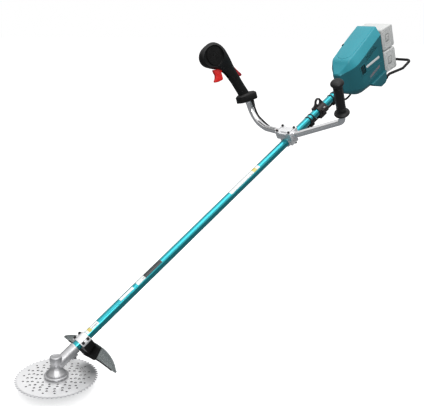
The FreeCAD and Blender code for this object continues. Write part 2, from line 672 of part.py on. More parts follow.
def foot(side):
    x = side * FOOT_X[0]
    return prism([(x, 1478, -38), (x, 1480, -46), (x, 1522, -76), (x, 1550, -76), (x, 1559, -70),
                  (x, 1566, -50), (x, rear_y(-36) - 0.5, -36)], (side * (FOOT_X[1] - FOOT_X[0]), 0, 0))


def louvre_slots():
    """Slots below the hood and parallel to its lower edge, right through both side walls."""
    tools = []
    for i in range(LOUVRES):
        y_from = 1488.0 + i
        y_to = 1550.0 + 5 * i
        drop = 6.0 + 5.2 * i
        top_from = hood_plane(y_from) - drop
        top_to = hood_plane(y_to) - drop
        tools.append(prism([(-80, y_from, top_from), (-80, y_to, top_to), (-80, y_to, top_to - LOUVRE_HIGH),
                            (-80, y_from, top_from - LOUVRE_HIGH)], (160, 0, 0)))
    return tools


def motor_housing():
    outer = housing_blank(0)
    inner = housing_blank(SHELL)
    walls = outer.cut(inner)
    pipe_hole = rod(PIPE_R, (0, 1370, 0), (0, 1400, 0))
    (window_y1, window_z1), (window_y2, window_z2) = WINDOW
    window = box((-80, window_y1, window_z1), (80, window_y2, window_z2))
    cable_hole = cable_solid(CABLE_R + 0.8)
    big = 400.0
    above = prism([(-big, 1300, hood_plane(1300)), (-big, 1700, hood_plane(1700)), (-big, 1700, 300),
                   (-big, 1300, 300)], (2 * big, 0, 0))
    hood = walls.common(above)
    keep("top_hood", max(hood.Solids, key=lambda s: s.Volume))
    body = walls.cut(above).cut(pipe_hole).cut(window).cut(cable_hole)
    body = cut_all(body, louvre_slots())
    body = cut_all(body, [rod(1.6, (-WALL_X - 1, y, z), (-WALL_X + 4, y, z)) for y, z in SCREW_SPOTS])
    screws = [bolt(3.5, 1.4, 1.6, SHELL, (-WALL_X, y, z), (1, 0, 0)) for y, z in SCREW_SPOTS]
    keep("housing_screws", group(screws))
    bush_from, bush_to = BUSH_SPAN
    for side, name in ((1, "left_housing"), (-1, "right_housing")):
        half = box((min(0, side * big), 1300, -200), (max(0, side * big), 1700, 200))
        piece = body.common(half).fuse(foot(side).cut(inner))
        seat = rod(BUSH_R, (side * ROD_X, bush_from, ROD_Z), (side * ROD_X, bush_to + 16, ROD_Z))
        piece = piece.cut(seat)
        keep(name, max(piece.Solids, key=lambda s: s.Volume).removeSplitter())
    keep("rod_bushes", group([tube(BUSH_R, ROD_R, (x, bush_from, ROD_Z), (x, bush_to, ROD_Z))
                              for x in (ROD_X, -ROD_X)]))
    keep("intake_grilles", group([grille(1), grille(-1)]))
    rod_points = rod_route()
    keep("battery_guard_rod", swept_rod(bent_path(rod_points, ROD_BENDS), rod_points, ROD_R))


def rod_route():
    """Centre line of the guard rod, from its left bush round behind the packs to its right bush."""
    half = [(ROD_X, 1536, ROD_Z), (ROD_X, 1590, ROD_Z), (ROD_X, 1672, -92), (ROD_X, 1728, -91)]
    return half + [(-x, y, z) for x, y, z in reversed(half)]


def grille(side):
    """Framed grid of bars that fills the air intake window."""
    (y1, z1), (y2, z2) = WINDOW
    x_in, x_out = (54.0, 57.0)
    opening = box((x_in - 1, y1 + 3, z1 + 3), (x_out + 1, y2 - 3, z2 - 3))
    frame = box((x_in, y1, z1), (x_out, y2, z2)).cut(opening)
    bars = [box((x_in, y1 + 2, z), (x_out, y2 - 2, z + 2)) for z in (z1 + 8, z1 + 14.5, z1 + 21, z1 + 27.5)]
    uprights = [box((x_in, y, z1 + 2), (x_out, y + 2, z2 - 2)) for y in (y1 + 10, y1 + 21)]
    whole = fused([frame] + bars + uprights).common(housing_blank(0))
    if side < 0:
        whole = whole.mirror(ORIGIN, X_AXIS)
    return whole


def motor_parts():
    keep("pipe_socket", tube(20, PIPE_R, (0, 1402, 0), (0, 1438, 0)).fuse(
        tube(MOTOR_R + 1, 11, (0, 1438, 0), (0, 1444, 0))).removeSplitter())
    keep("motor_bearings", group([tube(11, 4 + RUN_FIT, (0, y, 0), (0, y + 6, 0)) for y in (1438, 1524)]))
    stator = tube(MOTOR_R, 23.0, (0, 1448, 0), (0, 1500, 0))
    slots = [rod(2.6, (x, 1447, z), (x, 1501, z)) for x, z in ring_of(12, 26.5)]
    keep("motor_stator", stator.cut(group(slots)))
    keep("motor_rotor", fused([rod(22.3, (0, 1452, 0), (0, 1496, 0)), rod(4, (0, 1440, 0), (0, 1530, 0))]))
    hub = tube(9, 4, (0, 1506, 0), (0, 1518, 0))
    blades = []
    for i in range(9):
        vane = box((-0.9, 1506, 8), (0.9, 1517, FAN_R - 1))
        vane.rotate(ORIGIN, Y_AXIS, 40.0 * i)
        blades.append(vane)
    wheel = fused([hub, tube(FAN_R, 8, (0, 1517, 0), (0, 1519, 0))] + blades)
    keep("cooling_fan", wheel.cut(rod(4, (0, 1500, 0), (0, 1520, 0))))
    bell = tube(MOTOR_R + 1, 11, (0, 1524, 0), (0, 1530, 0)).fuse(
        group([box((x - 3, 1500, z - 3), (x + 3, 1525, z + 3)) for x, z in ring_of(3, 33.5, 0.52)]))
    bell = bell.fuse([rod(12, (0, 1530, 0), (0, 1532, 0))]).cut(rod(11, (0, 1523, 0), (0, 1530, 0)))
    keep("motor_rear_bracket", bell.removeSplitter())
    keep("motor_controller", box((-34, 1440, 44), (34, 1510, 58)))


# ---- battery bay -----------------------------------------------------------------
def bay_frame():
    """Placement with local y square to the leaning rear face and local z up along it."""
    lean = math.degrees(math.atan(REAR_LEAN))
    return Placement(Vector(0, HOUSING_REAR_TOP, HOOD_REAR_Z), Rotation(X_AXIS, -lean))


def keep_on_bay(name, shape):
    keep(name, shape.transformed(bay_frame().toMatrix()))


def pack_floors():
    top_pack = BATTERY_TOP - BATTERY[2]
    return [("upper", top_pack), ("lower", top_pack - BATTERY[2] - BATTERY_GAP)]


def battery_bay():
    width, depth, height = BATTERY
    plate = prism([(-46, 1, 10), (46, 1, 10), (54, 1, -6), (54, 1, -136), (46, 1, -144), (-46, 1, -144),
                   (-54, 1, -136), (-54, 1, -6)], (0, 5, 0))
    rails = []
    for _, floor in pack_floors():
        middle = floor + height / 2
        for z in (middle - 16, middle + 16):
            rails.append(box((-46, 6, z - 2), (46, 10, z + 2)))
            rails.append(box((-46, 10, z - 5), (46, 12.5, z + 5)))
    keep_on_bay("battery_mount", plate.fuse(rails).removeSplitter())
    terminals = []
    for _, floor in pack_floors():
        middle = floor + height / 2
        terminals += [box((-40, 6, middle + z), (-14, 11, middle + z + 1.5)) for z in (-6, 5)]
    keep_on_bay("battery_terminals", group(terminals))

    front = BATTERY_FRONT
    end = width / 2
    for label, floor in pack_floors():
        middle = floor + height / 2
        body = box((-end - 1, front, floor), (end, front + depth, floor + height))
        edges = [e for e in body.Edges if abs(e.tangentAt(e.FirstParameter).x) > 0.99]
        body = body.makeFillet(6.0, edges)
        for z in (middle - 16, middle + 16):
            body = body.cut(box((-80, front - 1, z - 2.6), (48, 10.4, z + 2.6)))
            body = body.cut(box((-80, 9.4, z - 5.6), (48, 13.1, z + 5.6)))
        body = body.cut(box((-80, front - 1, middle - 8), (10, 11.6, middle + 8)))
        seat = box((end - 8, front + 22, middle - 13), (end + 1, front + 42, middle + 13))
        body = body.cut(seat)
        for z in (middle - 30, middle - 24, middle + 19, middle + 25):
            body = body.cut(box((end - 1.5, front + 8, z), (end + 1, front + depth - 8, z + 3)))
        keep_on_bay("battery_" + label, body.removeSplitter())
        button = box((end - 4, front + 22.5, middle - 12.5), (end + 1.5, front + 41.5, middle + 12.5))
        keep_on_bay("battery_" + label + "_latch_button", button)


gear_head()
cutting_tool()
guard()
pipe_line()
handlebar_parts()
handlebar_clamp()
left_grip()
right_handle()
control_cable()
keep("cable_clips", group([cable_clip(y_from, y_to) for y_from, y_to in CLIP_SPANS]))
harness_hanger()
motor_housing()
motor_parts()
battery_bay()

for name, shape in NODES.items():
    shape.exportStep("parts/" + name + ".step")
    solids = len(shape.Solids)
    print(f"{name:28s} solids {solids:3d} valid {shape.isValid()} volume {shape.Volume / 1000:9.2f} cm3")
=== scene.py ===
"""Looks of the battery brush cutter: finishes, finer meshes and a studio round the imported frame.

Working frames, all in millimetres, are turned into the row frame in metres:
- pipe frame: x to the operator's left, y along the pipe to the motor, z square to both;
- blade frame: same origin, y level, z up along the blade axis;
- grip and bay frames: z along a grip, or along the leaning face that the batteries slide on.
"""
import bpy
import bmesh
import json
import math
from mathutils import Matrix, Vector


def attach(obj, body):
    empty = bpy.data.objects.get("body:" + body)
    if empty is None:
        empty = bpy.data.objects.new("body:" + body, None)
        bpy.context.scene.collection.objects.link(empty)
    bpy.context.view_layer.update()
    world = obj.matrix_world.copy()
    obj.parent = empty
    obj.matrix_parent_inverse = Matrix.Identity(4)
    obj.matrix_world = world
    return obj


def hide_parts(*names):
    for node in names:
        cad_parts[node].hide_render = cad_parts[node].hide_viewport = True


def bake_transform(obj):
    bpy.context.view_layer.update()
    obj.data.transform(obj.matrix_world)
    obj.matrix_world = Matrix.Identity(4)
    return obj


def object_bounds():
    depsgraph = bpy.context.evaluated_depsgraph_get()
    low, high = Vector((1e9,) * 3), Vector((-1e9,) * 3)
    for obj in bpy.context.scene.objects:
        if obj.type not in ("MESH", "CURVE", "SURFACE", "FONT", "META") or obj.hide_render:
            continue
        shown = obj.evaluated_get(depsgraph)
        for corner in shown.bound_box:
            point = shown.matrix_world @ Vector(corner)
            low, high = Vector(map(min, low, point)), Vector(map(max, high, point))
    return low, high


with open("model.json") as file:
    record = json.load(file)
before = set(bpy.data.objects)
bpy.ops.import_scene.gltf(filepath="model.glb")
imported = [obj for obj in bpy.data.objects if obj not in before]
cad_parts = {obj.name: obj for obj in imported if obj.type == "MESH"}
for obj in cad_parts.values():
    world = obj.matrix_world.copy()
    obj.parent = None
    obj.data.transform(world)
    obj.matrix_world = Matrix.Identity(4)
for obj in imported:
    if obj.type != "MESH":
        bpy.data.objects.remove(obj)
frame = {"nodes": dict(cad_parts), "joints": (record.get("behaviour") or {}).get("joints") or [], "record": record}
cad_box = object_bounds()

# ---- sizes shared with the CAD, in millimetres ----
MM = 0.001
PIPE_R = 14.0
NECK_REAR = 74.0
CASE_LOW = -24.0
BLADE_DROP = 33.5
BLADE_THICK = 1.8
# rings of lightening holes: count, ring radius, hole radius, first angle
BLADE_HOLES = [(12, 44, 2.4, 0.10), (16, 55, 2.8, 0.32), (20, 67, 3.0, 0.05), (24, 79, 2.8, 0.21),
               (18, 91, 2.2, 0.14)]
GUARD_SPAN = 140.0             # half its width
GUARD_STRAIGHT = 0.86          # share of the half width before its ends round off
BAR_R = 10.5
BAR_Y = 1074.0
BAR_Z = 27.0
BAR_BENDS = [60, 60, 75, 90, 60, 40, 17, 60]
GRIP_BASE = (215.0, 1135.0, 93.0)
GRIP_LEAN = (26.0, -6.0, 129.0)
TRIGGER_PIVOT = (-20.0, 160.0)
LEVER_PIVOT = (15.0, 139.0)
PANEL_CENTRE = (-28.0, 212.0)
PANEL_R = 33.0
COLLAR_LEAN = -20.0
COLLAR_TALL = 27.0
BOOT_TOP = (-2, 18, -7)
BOOT_AIM = (8, -7, -29)
BOOT_LENGTH = 31.0
CABLE_R = 3.5
CABLE_Z = -22.5
REAR_TOP = 1598.0              # housing's rear edge at the hood seam
SEAM_REAR_Z = 97.0
SEAM_SLOPE = 0.19
REAR_LEAN = 0.185
WALL = 2.6                     # moulded wall of the housing
BATTERY = (113.0, 70.0, 80.0)
BATTERY_TOP = 14.0
BATTERY_GAP = 6.0
BATTERY_FRONT = 7.0
WINDOW = ((1449.0, 18.0), (1474.0, 52.0))
ROD_R = 4.5
ROD_COAT = 0.7
ROD_X = 60.0
ROD_BENDS = [30, 26, 16, 16, 26, 30]
ROD_Z = -64.0
FOOT_X = (50.0, 68.0)

# ---- frames ----
joints = {joint["name"]: joint for joint in frame["joints"]}
HEAD = Vector(joints["blade_spin"]["pos_m"])
Z_AXIS = Vector((0, 0, 1))
PIPE_DIR = Vector(joints["drive_spin"]["axis"]).normalized()
RAKE = math.atan2(PIPE_DIR.z, PIPE_DIR.y)
BLADE = Matrix.Translation(HEAD) @ Matrix.Scale(MM, 4)
PIPE = Matrix.Translation(HEAD) @ Matrix.Rotation(RAKE, 4, "X") @ Matrix.Scale(MM, 4)


def standing(direction):
    """Turns z to a direction."""
    return Z_AXIS.rotation_difference(direction).to_matrix().to_4x4()


def grip_frame(side):
    """Local z stands on a grip's axis; side +1 is the left grip, -1 the right."""
    lean = Vector((side * GRIP_LEAN[0], GRIP_LEAN[1], GRIP_LEAN[2]))
    base = Vector((side * GRIP_BASE[0], GRIP_BASE[1], GRIP_BASE[2]))
    return PIPE @ Matrix.Translation(base) @ standing(lean)


LEFT_GRIP = grip_frame(1)
RIGHT_GRIP = grip_frame(-1)
ALONG = Matrix.Rotation(-math.pi / 2, 4, "X")      # stands a lathed piece along the pipe
BAY = (PIPE @ Matrix.Translation((0, REAR_TOP, SEAM_REAR_Z))
       @ Matrix.Rotation(-math.atan(REAR_LEAN), 4, "X"))

# ---- camera ----
camera_data = bpy.data.cameras.new("camera")
camera_data.lens = 57.8
camera_data.clip_end = 100
camera = bpy.data.objects.new("camera", camera_data)
camera.location = (1.5647, -1.8866, 0.2702)
camera.rotation_euler = [math.radians(a) for a in (75.013, -1.270, 48.604)]
bpy.context.scene.collection.objects.link(camera)
bpy.context.scene.camera = camera
bpy.context.scene.view_settings.view_transform = "Standard"


# ---- studio ----
def link(name, data):
    thing = bpy.data.objects.new(name, data)
    bpy.context.scene.collection.objects.link(thing)
    return thing


def area_light(name, place, target, size, watts):
    data = bpy.data.lights.new(name, "AREA")
    data.shape = "RECTANGLE"
    data.size, data.size_y = size
    data.energy = watts
    lamp = link(name, data)
    lamp.location = place
    aim = Vector(target) - Vector(place)
    lamp.rotation_euler = aim.to_track_quat("-Z", "Y").to_euler()


def put(tree, target, value):
    """Set an input to a value, or link it when the value is another node's socket."""
    if isinstance(value, bpy.types.NodeSocket):
        tree.links.new(value, target)
    else:
        target.default_value = value


def add_node(tree, kind, inputs=None, **settings):
    """A shader node with its properties set, and its inputs set to values or linked to sockets."""
    node = tree.nodes.new("ShaderNode" + kind)
    for name, value in settings.items():
        setattr(node, name, value)
    for key, value in (inputs or {}).items():
        put(tree, node.inputs[key], value)
    return node


def fill_ramp(node, stops):
    """Colour ramp from (position, colour) pairs; a colour is a grey level or three numbers."""
    elements = node.color_ramp.elements
    for i, (position, colour) in enumerate(stops):
        stop = elements[i] if i < 2 else elements.new(position)
        stop.position = position
        shade = (colour,) * 3 if isinstance(colour, (int, float)) else colour
        stop.color = (*shade, 1)


def studio():
    """A white floor under the blade, a soft sky that darkens to the horizon, and soft boxes."""
    floor_z = cad_box[0][2] - 0.03
    half = 30.0
    mesh = bpy.data.meshes.new("floor")
    mesh.from_pydata([(-half, -half, floor_z), (half, -half, floor_z), (half, half, floor_z),
                      (-half, half, floor_z)], [], [(0, 1, 2, 3)])
    floor = link("floor", mesh)
    paint = bpy.data.materials.new("floor_white")
    paint.use_nodes = True
    shader = paint.node_tree.nodes["Principled BSDF"]
    for socket, value in (("Base Color", (0.85, 0.85, 0.85, 1)), ("Emission Color", (1, 1, 1, 1)),
                          ("Emission Strength", 0.5), ("Roughness", 0.9), ("Specular IOR Level", 0.0)):
        shader.inputs[socket].default_value = value
    mesh.materials.append(paint)
    floor.visible_glossy = False
    floor.visible_diffuse = False

    world = bpy.data.worlds.new("studio_sky")
    bpy.context.scene.world = world
    world.use_nodes = True
    tree = world.node_tree
    split = add_node(tree, "SeparateXYZ", {0: add_node(tree, "TexCoord").outputs["Generated"]})
    ramp = add_node(tree, "ValToRGB", {0: split.outputs["Z"]})
    fill_ramp(ramp, ((0.0, (0.22, 0.23, 0.24)), (0.12, 0.10), (0.30, 0.16), (0.48, 0.80), (0.85, 0.95)))
    sky = tree.nodes["Background"]
    tree.links.new(ramp.outputs[0], sky.inputs["Color"])
    seen = add_node(tree, "Background", {"Color": (1, 1, 1, 1), "Strength": 1.0})
    path = add_node(tree, "LightPath")
    mix = add_node(tree, "MixShader", {0: path.outputs["Is Camera Ray"], 1: sky.outputs[0],
                                       2: seen.outputs[0]})
    tree.links.new(mix.outputs[0], tree.nodes["World Output"].inputs["Surface"])

    area_light("top_box", (0.4, -0.6, 2.6), (0, 0, 0), (2.4, 2.4), 32)
    area_light("front_box", (2.6, -2.2, 1.6), (0, -0.2, 0), (1.6, 1.6), 44)


studio()


# ---- finishes ----
class Finish:
    """A Principled material with procedural detail, in the row frame's metres."""

    def __init__(self, name, **sockets):
        self.material = bpy.data.materials.new(name)
        self.material.use_nodes = True
        self.tree = self.material.node_tree
        self.shader = self.tree.nodes["Principled BSDF"]
        for socket, value in sockets.items():
            self.set(socket.replace("_", " "), value)
        self.coords = self.node("TexCoord").outputs["Object"]

    def node(self, kind, inputs=None, **settings):
        return add_node(self.tree, kind, inputs, **settings)

    def set(self, socket, value):
        put(self.tree, self.shader.inputs[socket], value)

    def about_blade(self, turn=0.0, stretch=(1, 1, 1)):
        """Coordinates from the blade's centre, turned about x and stretched."""
        return self.node("Mapping", {0: self.coords, "Location": HEAD, "Rotation": (turn, 0, 0),
                                     "Scale": stretch}, vector_type="TEXTURE").outputs[0]

    def along_pipe(self, stretch=(1, 1, 1)):
        return self.about_blade(RAKE, stretch)

    def noise(self, scale, detail=3.0, coords=None):
        return self.node("TexNoise", {"Vector": coords or self.coords, "Scale": scale,
                                      "Detail": detail}).outputs["Fac"]

    def cells(self, scale):
        return self.node("TexVoronoi", {"Vector": self.coords, "Scale": scale}).outputs["Distance"]

    def part(self, coords, axis):
        return self.node("SeparateXYZ", {0: coords}).outputs[axis]

    def math(self, operation, first, second=0.0):
        return self.node("Math", {0: first, 1: second}, operation=operation).outputs[0]

    def ramp(self, value, *stops):
        node = self.node("ValToRGB", {0: value})
        fill_ramp(node, stops)
        return node.outputs[0]

    def edges(self, radius):
        """1 on sharp edges and 0 on open faces."""
        soft = self.node("Bevel", {"Radius": radius}, samples=4)
        plain = self.node("NewGeometry")
        dot = self.node("VectorMath", {0: soft.outputs[0], 1: plain.outputs["Normal"]},
                        operation="DOT_PRODUCT")
        return self.ramp(dot.outputs["Value"], (0.80, 1.0), (0.97, 0.0))

    def mix(self, amount, *colours):
        first, second = ((*c, 1) if isinstance(c, tuple) else c for c in colours)
        return self.node("Mix", {0: amount, 6: first, 7: second}, data_type="RGBA").outputs[2]

    def done(self, colour, rough, height, depth, strength):
        """Colour, roughness, and a relief of a height from 0 to 1 that is depth metres deep."""
        bump = self.node("Bump", {"Height": height, "Distance": depth, "Strength": strength})
        for socket, value in (("Base Color", colour), ("Roughness", rough), ("Normal", bump.outputs[0])):
            self.set(socket, value)
        return self.material


def scaled(colour, share):
    return tuple(share * c for c in colour)


def weathered(name, tone, shades, edge, rough, relief, **sockets):
    """Colour drift between two shades, rubbed edges, uneven gloss and a fine relief.

    tone is (scale, detail) of the drift; edge is (width in metres, worn colour); rough is
    (scale, low, high); relief is (scale, detail, depth in metres, strength), and a detail of
    None makes it pebbled.
    """
    finish = Finish(name, **sockets)
    width, worn = edge
    body = finish.mix(finish.noise(*tone), *shades)
    colour = finish.mix(finish.edges(width), body, worn)
    scale, low, high = rough
    gloss = finish.ramp(finish.noise(scale), (0.3, low), (0.7, high))
    scale, detail, depth, strength = relief
    height = finish.cells(scale) if detail is None else finish.noise(scale, detail)
    return finish.done(colour, gloss, height, depth, strength)


def moulded(name, colour, worn, roughness, grain=1400.0, depth=0.00006, **sockets):
    """Moulded plastic with a leather-fine grain."""
    return weathered(name, (9.0,), (scaled(colour, 0.88), scaled(colour, 1.08)), (0.0012, worn),
                     (60.0, roughness - 0.06, roughness + 0.08), (grain, 2.0, depth, 0.5), **sockets)


def rubber(name, colour, worn):
    """Soft rubber: dull, with a fine pebble grain and dusty edges."""
    return weathered(name, (30.0,), (colour, scaled(colour, 1.5)), (0.0016, worn), (45.0, 0.42, 0.6),
                     (900.0, None, 0.00012, 0.35), Sheen_Weight=0.04, Sheen_Roughness=0.5,
                     Specular_IOR_Level=0.4)


def casting(name, colour, roughness, pits=420.0, metal=0.9):
    """Blasted and tumbled aluminium casting, brighter on its edges."""
    bright = tuple(min(0.95, 1.45 * c) for c in colour)
    return weathered(name, (55.0, 5.0), (scaled(colour, 0.82), scaled(colour, 1.1)), (0.0010, bright),
                     (180.0, roughness - 0.08, roughness + 0.1), (pits, 4.0, 0.00016, 0.45),
                     Metallic=metal)


def blackened(name):
    """Black oxide screws and coated rod: dark, rubbed to grey on the edges."""
    return weathered(name, (240.0, 4.0), ((0.012, 0.012, 0.013), (0.035, 0.034, 0.034)),
                     (0.0005, (0.16, 0.155, 0.15)), (300.0, 0.30, 0.48), (900.0, 2.0, 0.00004, 0.4),
                     Metallic=0.6, Specular_IOR_Level=0.4)


def pack_plastic(name, colour):
    """Pale grey battery moulding: matt and faintly mottled, with paler edges."""
    return weathered(name, (14.0, 4.0), (scaled(colour, 0.93), colour), (0.0012, (0.86, 0.87, 0.86)),
                     (80.0, 0.42, 0.58), (1500.0, 2.0, 0.00007, 0.5), Subsurface_Weight=0.05,
                     Subsurface_Radius=(0.004, 0.004, 0.004))


def enamel():
    """Metallic teal enamel of the pipe, with fine flake and a clear top coat."""
    finish = Finish("pipe_enamel", Metallic=0.85, Coat_Weight=0.5, Coat_Roughness=0.06)
    flake = finish.mix(finish.noise(5200.0, 2.0), (0.012, 0.30, 0.36), (0.03, 0.46, 0.52))
    scuffs = finish.noise(700.0, 4.0, finish.along_pipe((1.0, 14.0, 1.0)))
    gloss = finish.ramp(scuffs, (0.35, 0.17), (0.75, 0.30))
    return finish.done(flake, gloss, finish.noise(260.0, 1.0), 0.00003, 0.4)


def turned(name, colour, roughness, line_scale=2600.0):
    """Machined steel with fine tool lines."""
    finish = Finish(name, Metallic=1.0)
    lines = finish.noise(line_scale, 2.0, finish.along_pipe((18.0, 1.0, 18.0)))
    metal = finish.mix(lines, scaled(colour, 0.85), colour)
    gloss = finish.ramp(lines, (0.3, roughness - 0.07), (0.7, roughness + 0.08))
    return finish.done(metal, gloss, lines, 0.00002, 0.5)


def chrome():
    """Plated handlebar tube: mirror bright with a little haze and drawing lines."""
    finish = Finish("bar_chrome", Metallic=0.9)
    haze = finish.noise(140.0, 5.0)
    plate = finish.mix(haze, (0.90, 0.90, 0.91), (0.97, 0.97, 0.98))
    gloss = finish.ramp(haze, (0.35, 0.14), (0.75, 0.26))
    return finish.done(plate, gloss, finish.noise(90.0, 1.0), 0.00003, 0.4)


def blade_steel():
    """Ground saw plate: ring marks round the arbor, a dark outer sector that is a painted reflection, dull teeth.
    """
    finish = Finish("blade_steel", Metallic=0.55, Anisotropic=0.6)
    tangent = finish.node("Tangent", direction_type="RADIAL", axis="Z")
    finish.set("Tangent", tangent.outputs[0])
    place = finish.about_blade()
    x, y = finish.part(place, 0), finish.part(place, 1)
    square = finish.math("ADD", finish.math("MULTIPLY", x, x), finish.math("MULTIPLY", y, y))
    radius = finish.math("SQRT", square)
    rings = finish.math("SINE", finish.math("MULTIPLY", radius, 5200.0))
    wander = finish.noise(70.0, 5.0)
    lines = finish.math("ADD", finish.math("MULTIPLY", rings, 0.5), wander)
    base = finish.mix(wander, (0.93, 0.93, 0.94), (0.97, 0.97, 0.98))
    # painted reflection: a dark sector on the outer blade stands in for a reflection of the dark horizon
    turn = finish.math("ARCTAN2", y, x)
    painted_reflection_sector = finish.ramp(finish.math("DIVIDE", turn, math.pi),
                         (0.14, 0.0), (0.36, 1.0), (0.50, 0.9), (0.60, 0.0))
    outer = finish.ramp(radius, (0.062, 0.0), (0.098, 1.0))
    with_painted_reflection = finish.mix(finish.math("MULTIPLY", painted_reflection_sector, outer), base, (0.16, 0.165, 0.17))
    rim = finish.ramp(radius, (0.106, 0.0), (0.114, 0.5))
    colour = finish.mix(rim, with_painted_reflection, (0.36, 0.36, 0.38))
    return finish.done(colour, finish.ramp(lines, (0.2, 0.30), (0.9, 0.38)), lines, 0.000012, 0.5)


def smoke():
    """Smoky see-through polycarbonate of the guard, with long scratches."""
    finish = Finish("smoke_shield", Transmission_Weight=0.35, IOR=1.5, Specular_IOR_Level=0.6)
    cloud = finish.noise(25.0, 4.0)
    colour = finish.mix(cloud, (0.17, 0.19, 0.19), (0.33, 0.36, 0.36))
    scratch = finish.noise(600.0, 3.0, finish.along_pipe((1.0, 10.0, 1.0)))
    return finish.done(colour, finish.ramp(scratch, (0.4, 0.18), (0.8, 0.4)), scratch, 0.00003, 0.4)


def copper():
    """Stator laminations with copper between the slots."""
    finish = Finish("stator_copper", Metallic=0.9)
    bands = finish.noise(2000.0, 1.0, finish.along_pipe((30.0, 1.0, 30.0)))
    colour = finish.mix(bands, (0.30, 0.16, 0.08), (0.62, 0.36, 0.20))
    return finish.done(colour, 0.4, bands, 0.0001, 0.6)


def sticker(name, paper, ink, start, end, patch=None):
    """A printed label wrapped on the pipe: plain rules along it, and a coloured patch at one end."""
    finish = Finish(name, Coat_Weight=0.4, Coat_Roughness=0.12)
    place = finish.along_pipe()
    from_start = finish.math("SUBTRACT", finish.part(place, 1), start * MM)
    along = finish.math("DIVIDE", from_start, (end - start) * MM)
    dashes = finish.noise(420.0, 0.0, finish.along_pipe((1.0, 3.0, 1.0)))
    rules = finish.math("SINE", finish.math("MULTIPLY", finish.part(place, 2), 2600.0))
    print_mask = finish.math("MULTIPLY", finish.ramp(dashes, (0.52, 0.0), (0.55, 1.0)),
                             finish.ramp(rules, (0.1, 0.0), (0.3, 1.0)))
    margin = finish.ramp(along, (0.10, 0.0), (0.12, 1.0), (0.90, 1.0), (0.92, 0.0))
    colour = finish.mix(finish.math("MULTIPLY", print_mask, margin), paper, ink)
    if patch:
        low, high, tint = patch
        fade = 0.01
        spot = finish.ramp(along, (low - fade, 0.0), (low, 1.0), (high, 1.0), (high + fade, 0.0))
        colour = finish.mix(spot, colour, tint)
    gloss = finish.ramp(finish.noise(120.0), (0.3, 0.25), (0.7, 0.38))
    return finish.done(colour, gloss, finish.noise(800.0, 2.0), 0.00002, 0.3)


FINISHES = {
    "pipe_teal": enamel(),
    "cast_alloy": casting("cast_alloy", (0.56, 0.56, 0.57), 0.46),
    "clamp_alloy": casting("clamp_alloy", (0.92, 0.92, 0.93), 0.30, 300.0, 0.6),
    "blade_steel": blade_steel(),
    "machined_steel": turned("machined_steel", (0.60, 0.60, 0.62), 0.28),
    "bolt_black": blackened("bolt_black"),
    "screw_zinc": turned("screw_zinc", (0.72, 0.72, 0.70), 0.30, 3200.0),
    "black_plastic": moulded("black_plastic", (0.004, 0.004, 0.004), (0.03, 0.03, 0.031), 0.42,
                             Specular_IOR_Level=0.32),
    "hanger_black": moulded("hanger_black", (0.020, 0.016, 0.016), (0.075, 0.065, 0.065), 0.40),
    "panel_black": moulded("panel_black", (0.006, 0.006, 0.006), (0.03, 0.03, 0.03), 0.22, 2200.0, 0.00002),
    "smoke_shield": smoke(),
    "bar_chrome": chrome(),
    "grip_rubber": rubber("grip_rubber", (0.005, 0.005, 0.005), (0.035, 0.033, 0.033)),
    "cable_black": rubber("cable_black", (0.007, 0.007, 0.007), (0.02, 0.02, 0.02)),
    "trigger_red": moulded("trigger_red", (0.88, 0.026, 0.022), (0.95, 0.14, 0.11), 0.34, 1800.0, 0.00003),
    "lever_red": moulded("lever_red", (0.38, 0.018, 0.026), (0.55, 0.10, 0.10), 0.32, 1800.0, 0.00003),
    # hood_teal and housing_teal are one teal: housing_teal is a darker copy, painted shade for the side walls
    "hood_teal": moulded("hood_teal", (0.030, 0.330, 0.405), (0.10, 0.46, 0.54), 0.36),
    "housing_teal": moulded("housing_teal", (0.014, 0.150, 0.185), (0.05, 0.30, 0.36), 0.36),
    "rod_black": blackened("rod_black"),
    "battery_grey": pack_plastic("battery_grey", (0.70, 0.71, 0.70)),
    "latch_grey": pack_plastic("latch_grey", (0.52, 0.53, 0.52)),
    "stator_copper": copper(),
    "board_green": moulded("board_green", (0.02, 0.06, 0.04), (0.05, 0.12, 0.08), 0.45),
    "contact_brass": turned("contact_brass", (0.72, 0.52, 0.22), 0.25),
}

for row in frame["record"]["subparts"]:
    materials = frame["nodes"][row["node"]].data.materials
    materials.clear()
    materials.append(FINISHES[row["material_slot"]])

# printed labels, which have no slot of their own in the record
PAPER = (0.84, 0.85, 0.84)
YELLOW = (0.72, 0.60, 0.16)
BLACK = (0.012, 0.012, 0.014)
LABELS = {
    "label_white": sticker("badge_white", PAPER, (0.78, 0.80, 0.80), 1480, 1570),
    "label_grey": sticker("data_label", (0.13, 0.20, 0.23), (0.42, 0.13, 0.14), 1484, 1560),
}
# foils round the pipe: start and end along it, half angle, ink, and a patch (from, to, colour)
PIPE_LABELS = {
    "label_notice": ("lower_notice_label", 120, 166, 30, (0.30, 0.40, 0.42), (0.18, 0.40, YELLOW)),
    "label_bar": ("white_bar_label", 256, 311, 20, (0.74, 0.80, 0.81), None),
    "label_split": ("split_label", 326, 431, 30, (0.40, 0.42, 0.43), (0.32, 1.2, BLACK)),
    "label_upper": ("upper_notice_label", 759, 906, 30, (0.45, 0.50, 0.52), (0.80, 0.90, YELLOW)),
}
for slot, (_, start, end, _, ink, patch) in PIPE_LABELS.items():
    LABELS[slot] = sticker(slot, PAPER, ink, start, end, patch)


# ---- mesh tools: a shape is (points, faces) in millimetres ----
def loft(rings, cap_start=True, cap_end=True):
    """Skin closed rings that have the same number of points."""
    count = len(rings[0])
    points = [point for ring in rings for point in ring]
    faces = []
    for i in range(len(rings) - 1):
        for j in range(count):
            k = (j + 1) % count
            faces.append((i * count + j, i * count + k, (i + 1) * count + k, (i + 1) * count + j))
    if cap_start:
        faces.append(tuple(range(count)))
    if cap_end:
        faces.append(tuple(range(len(points) - count, len(points))))
    return points, faces


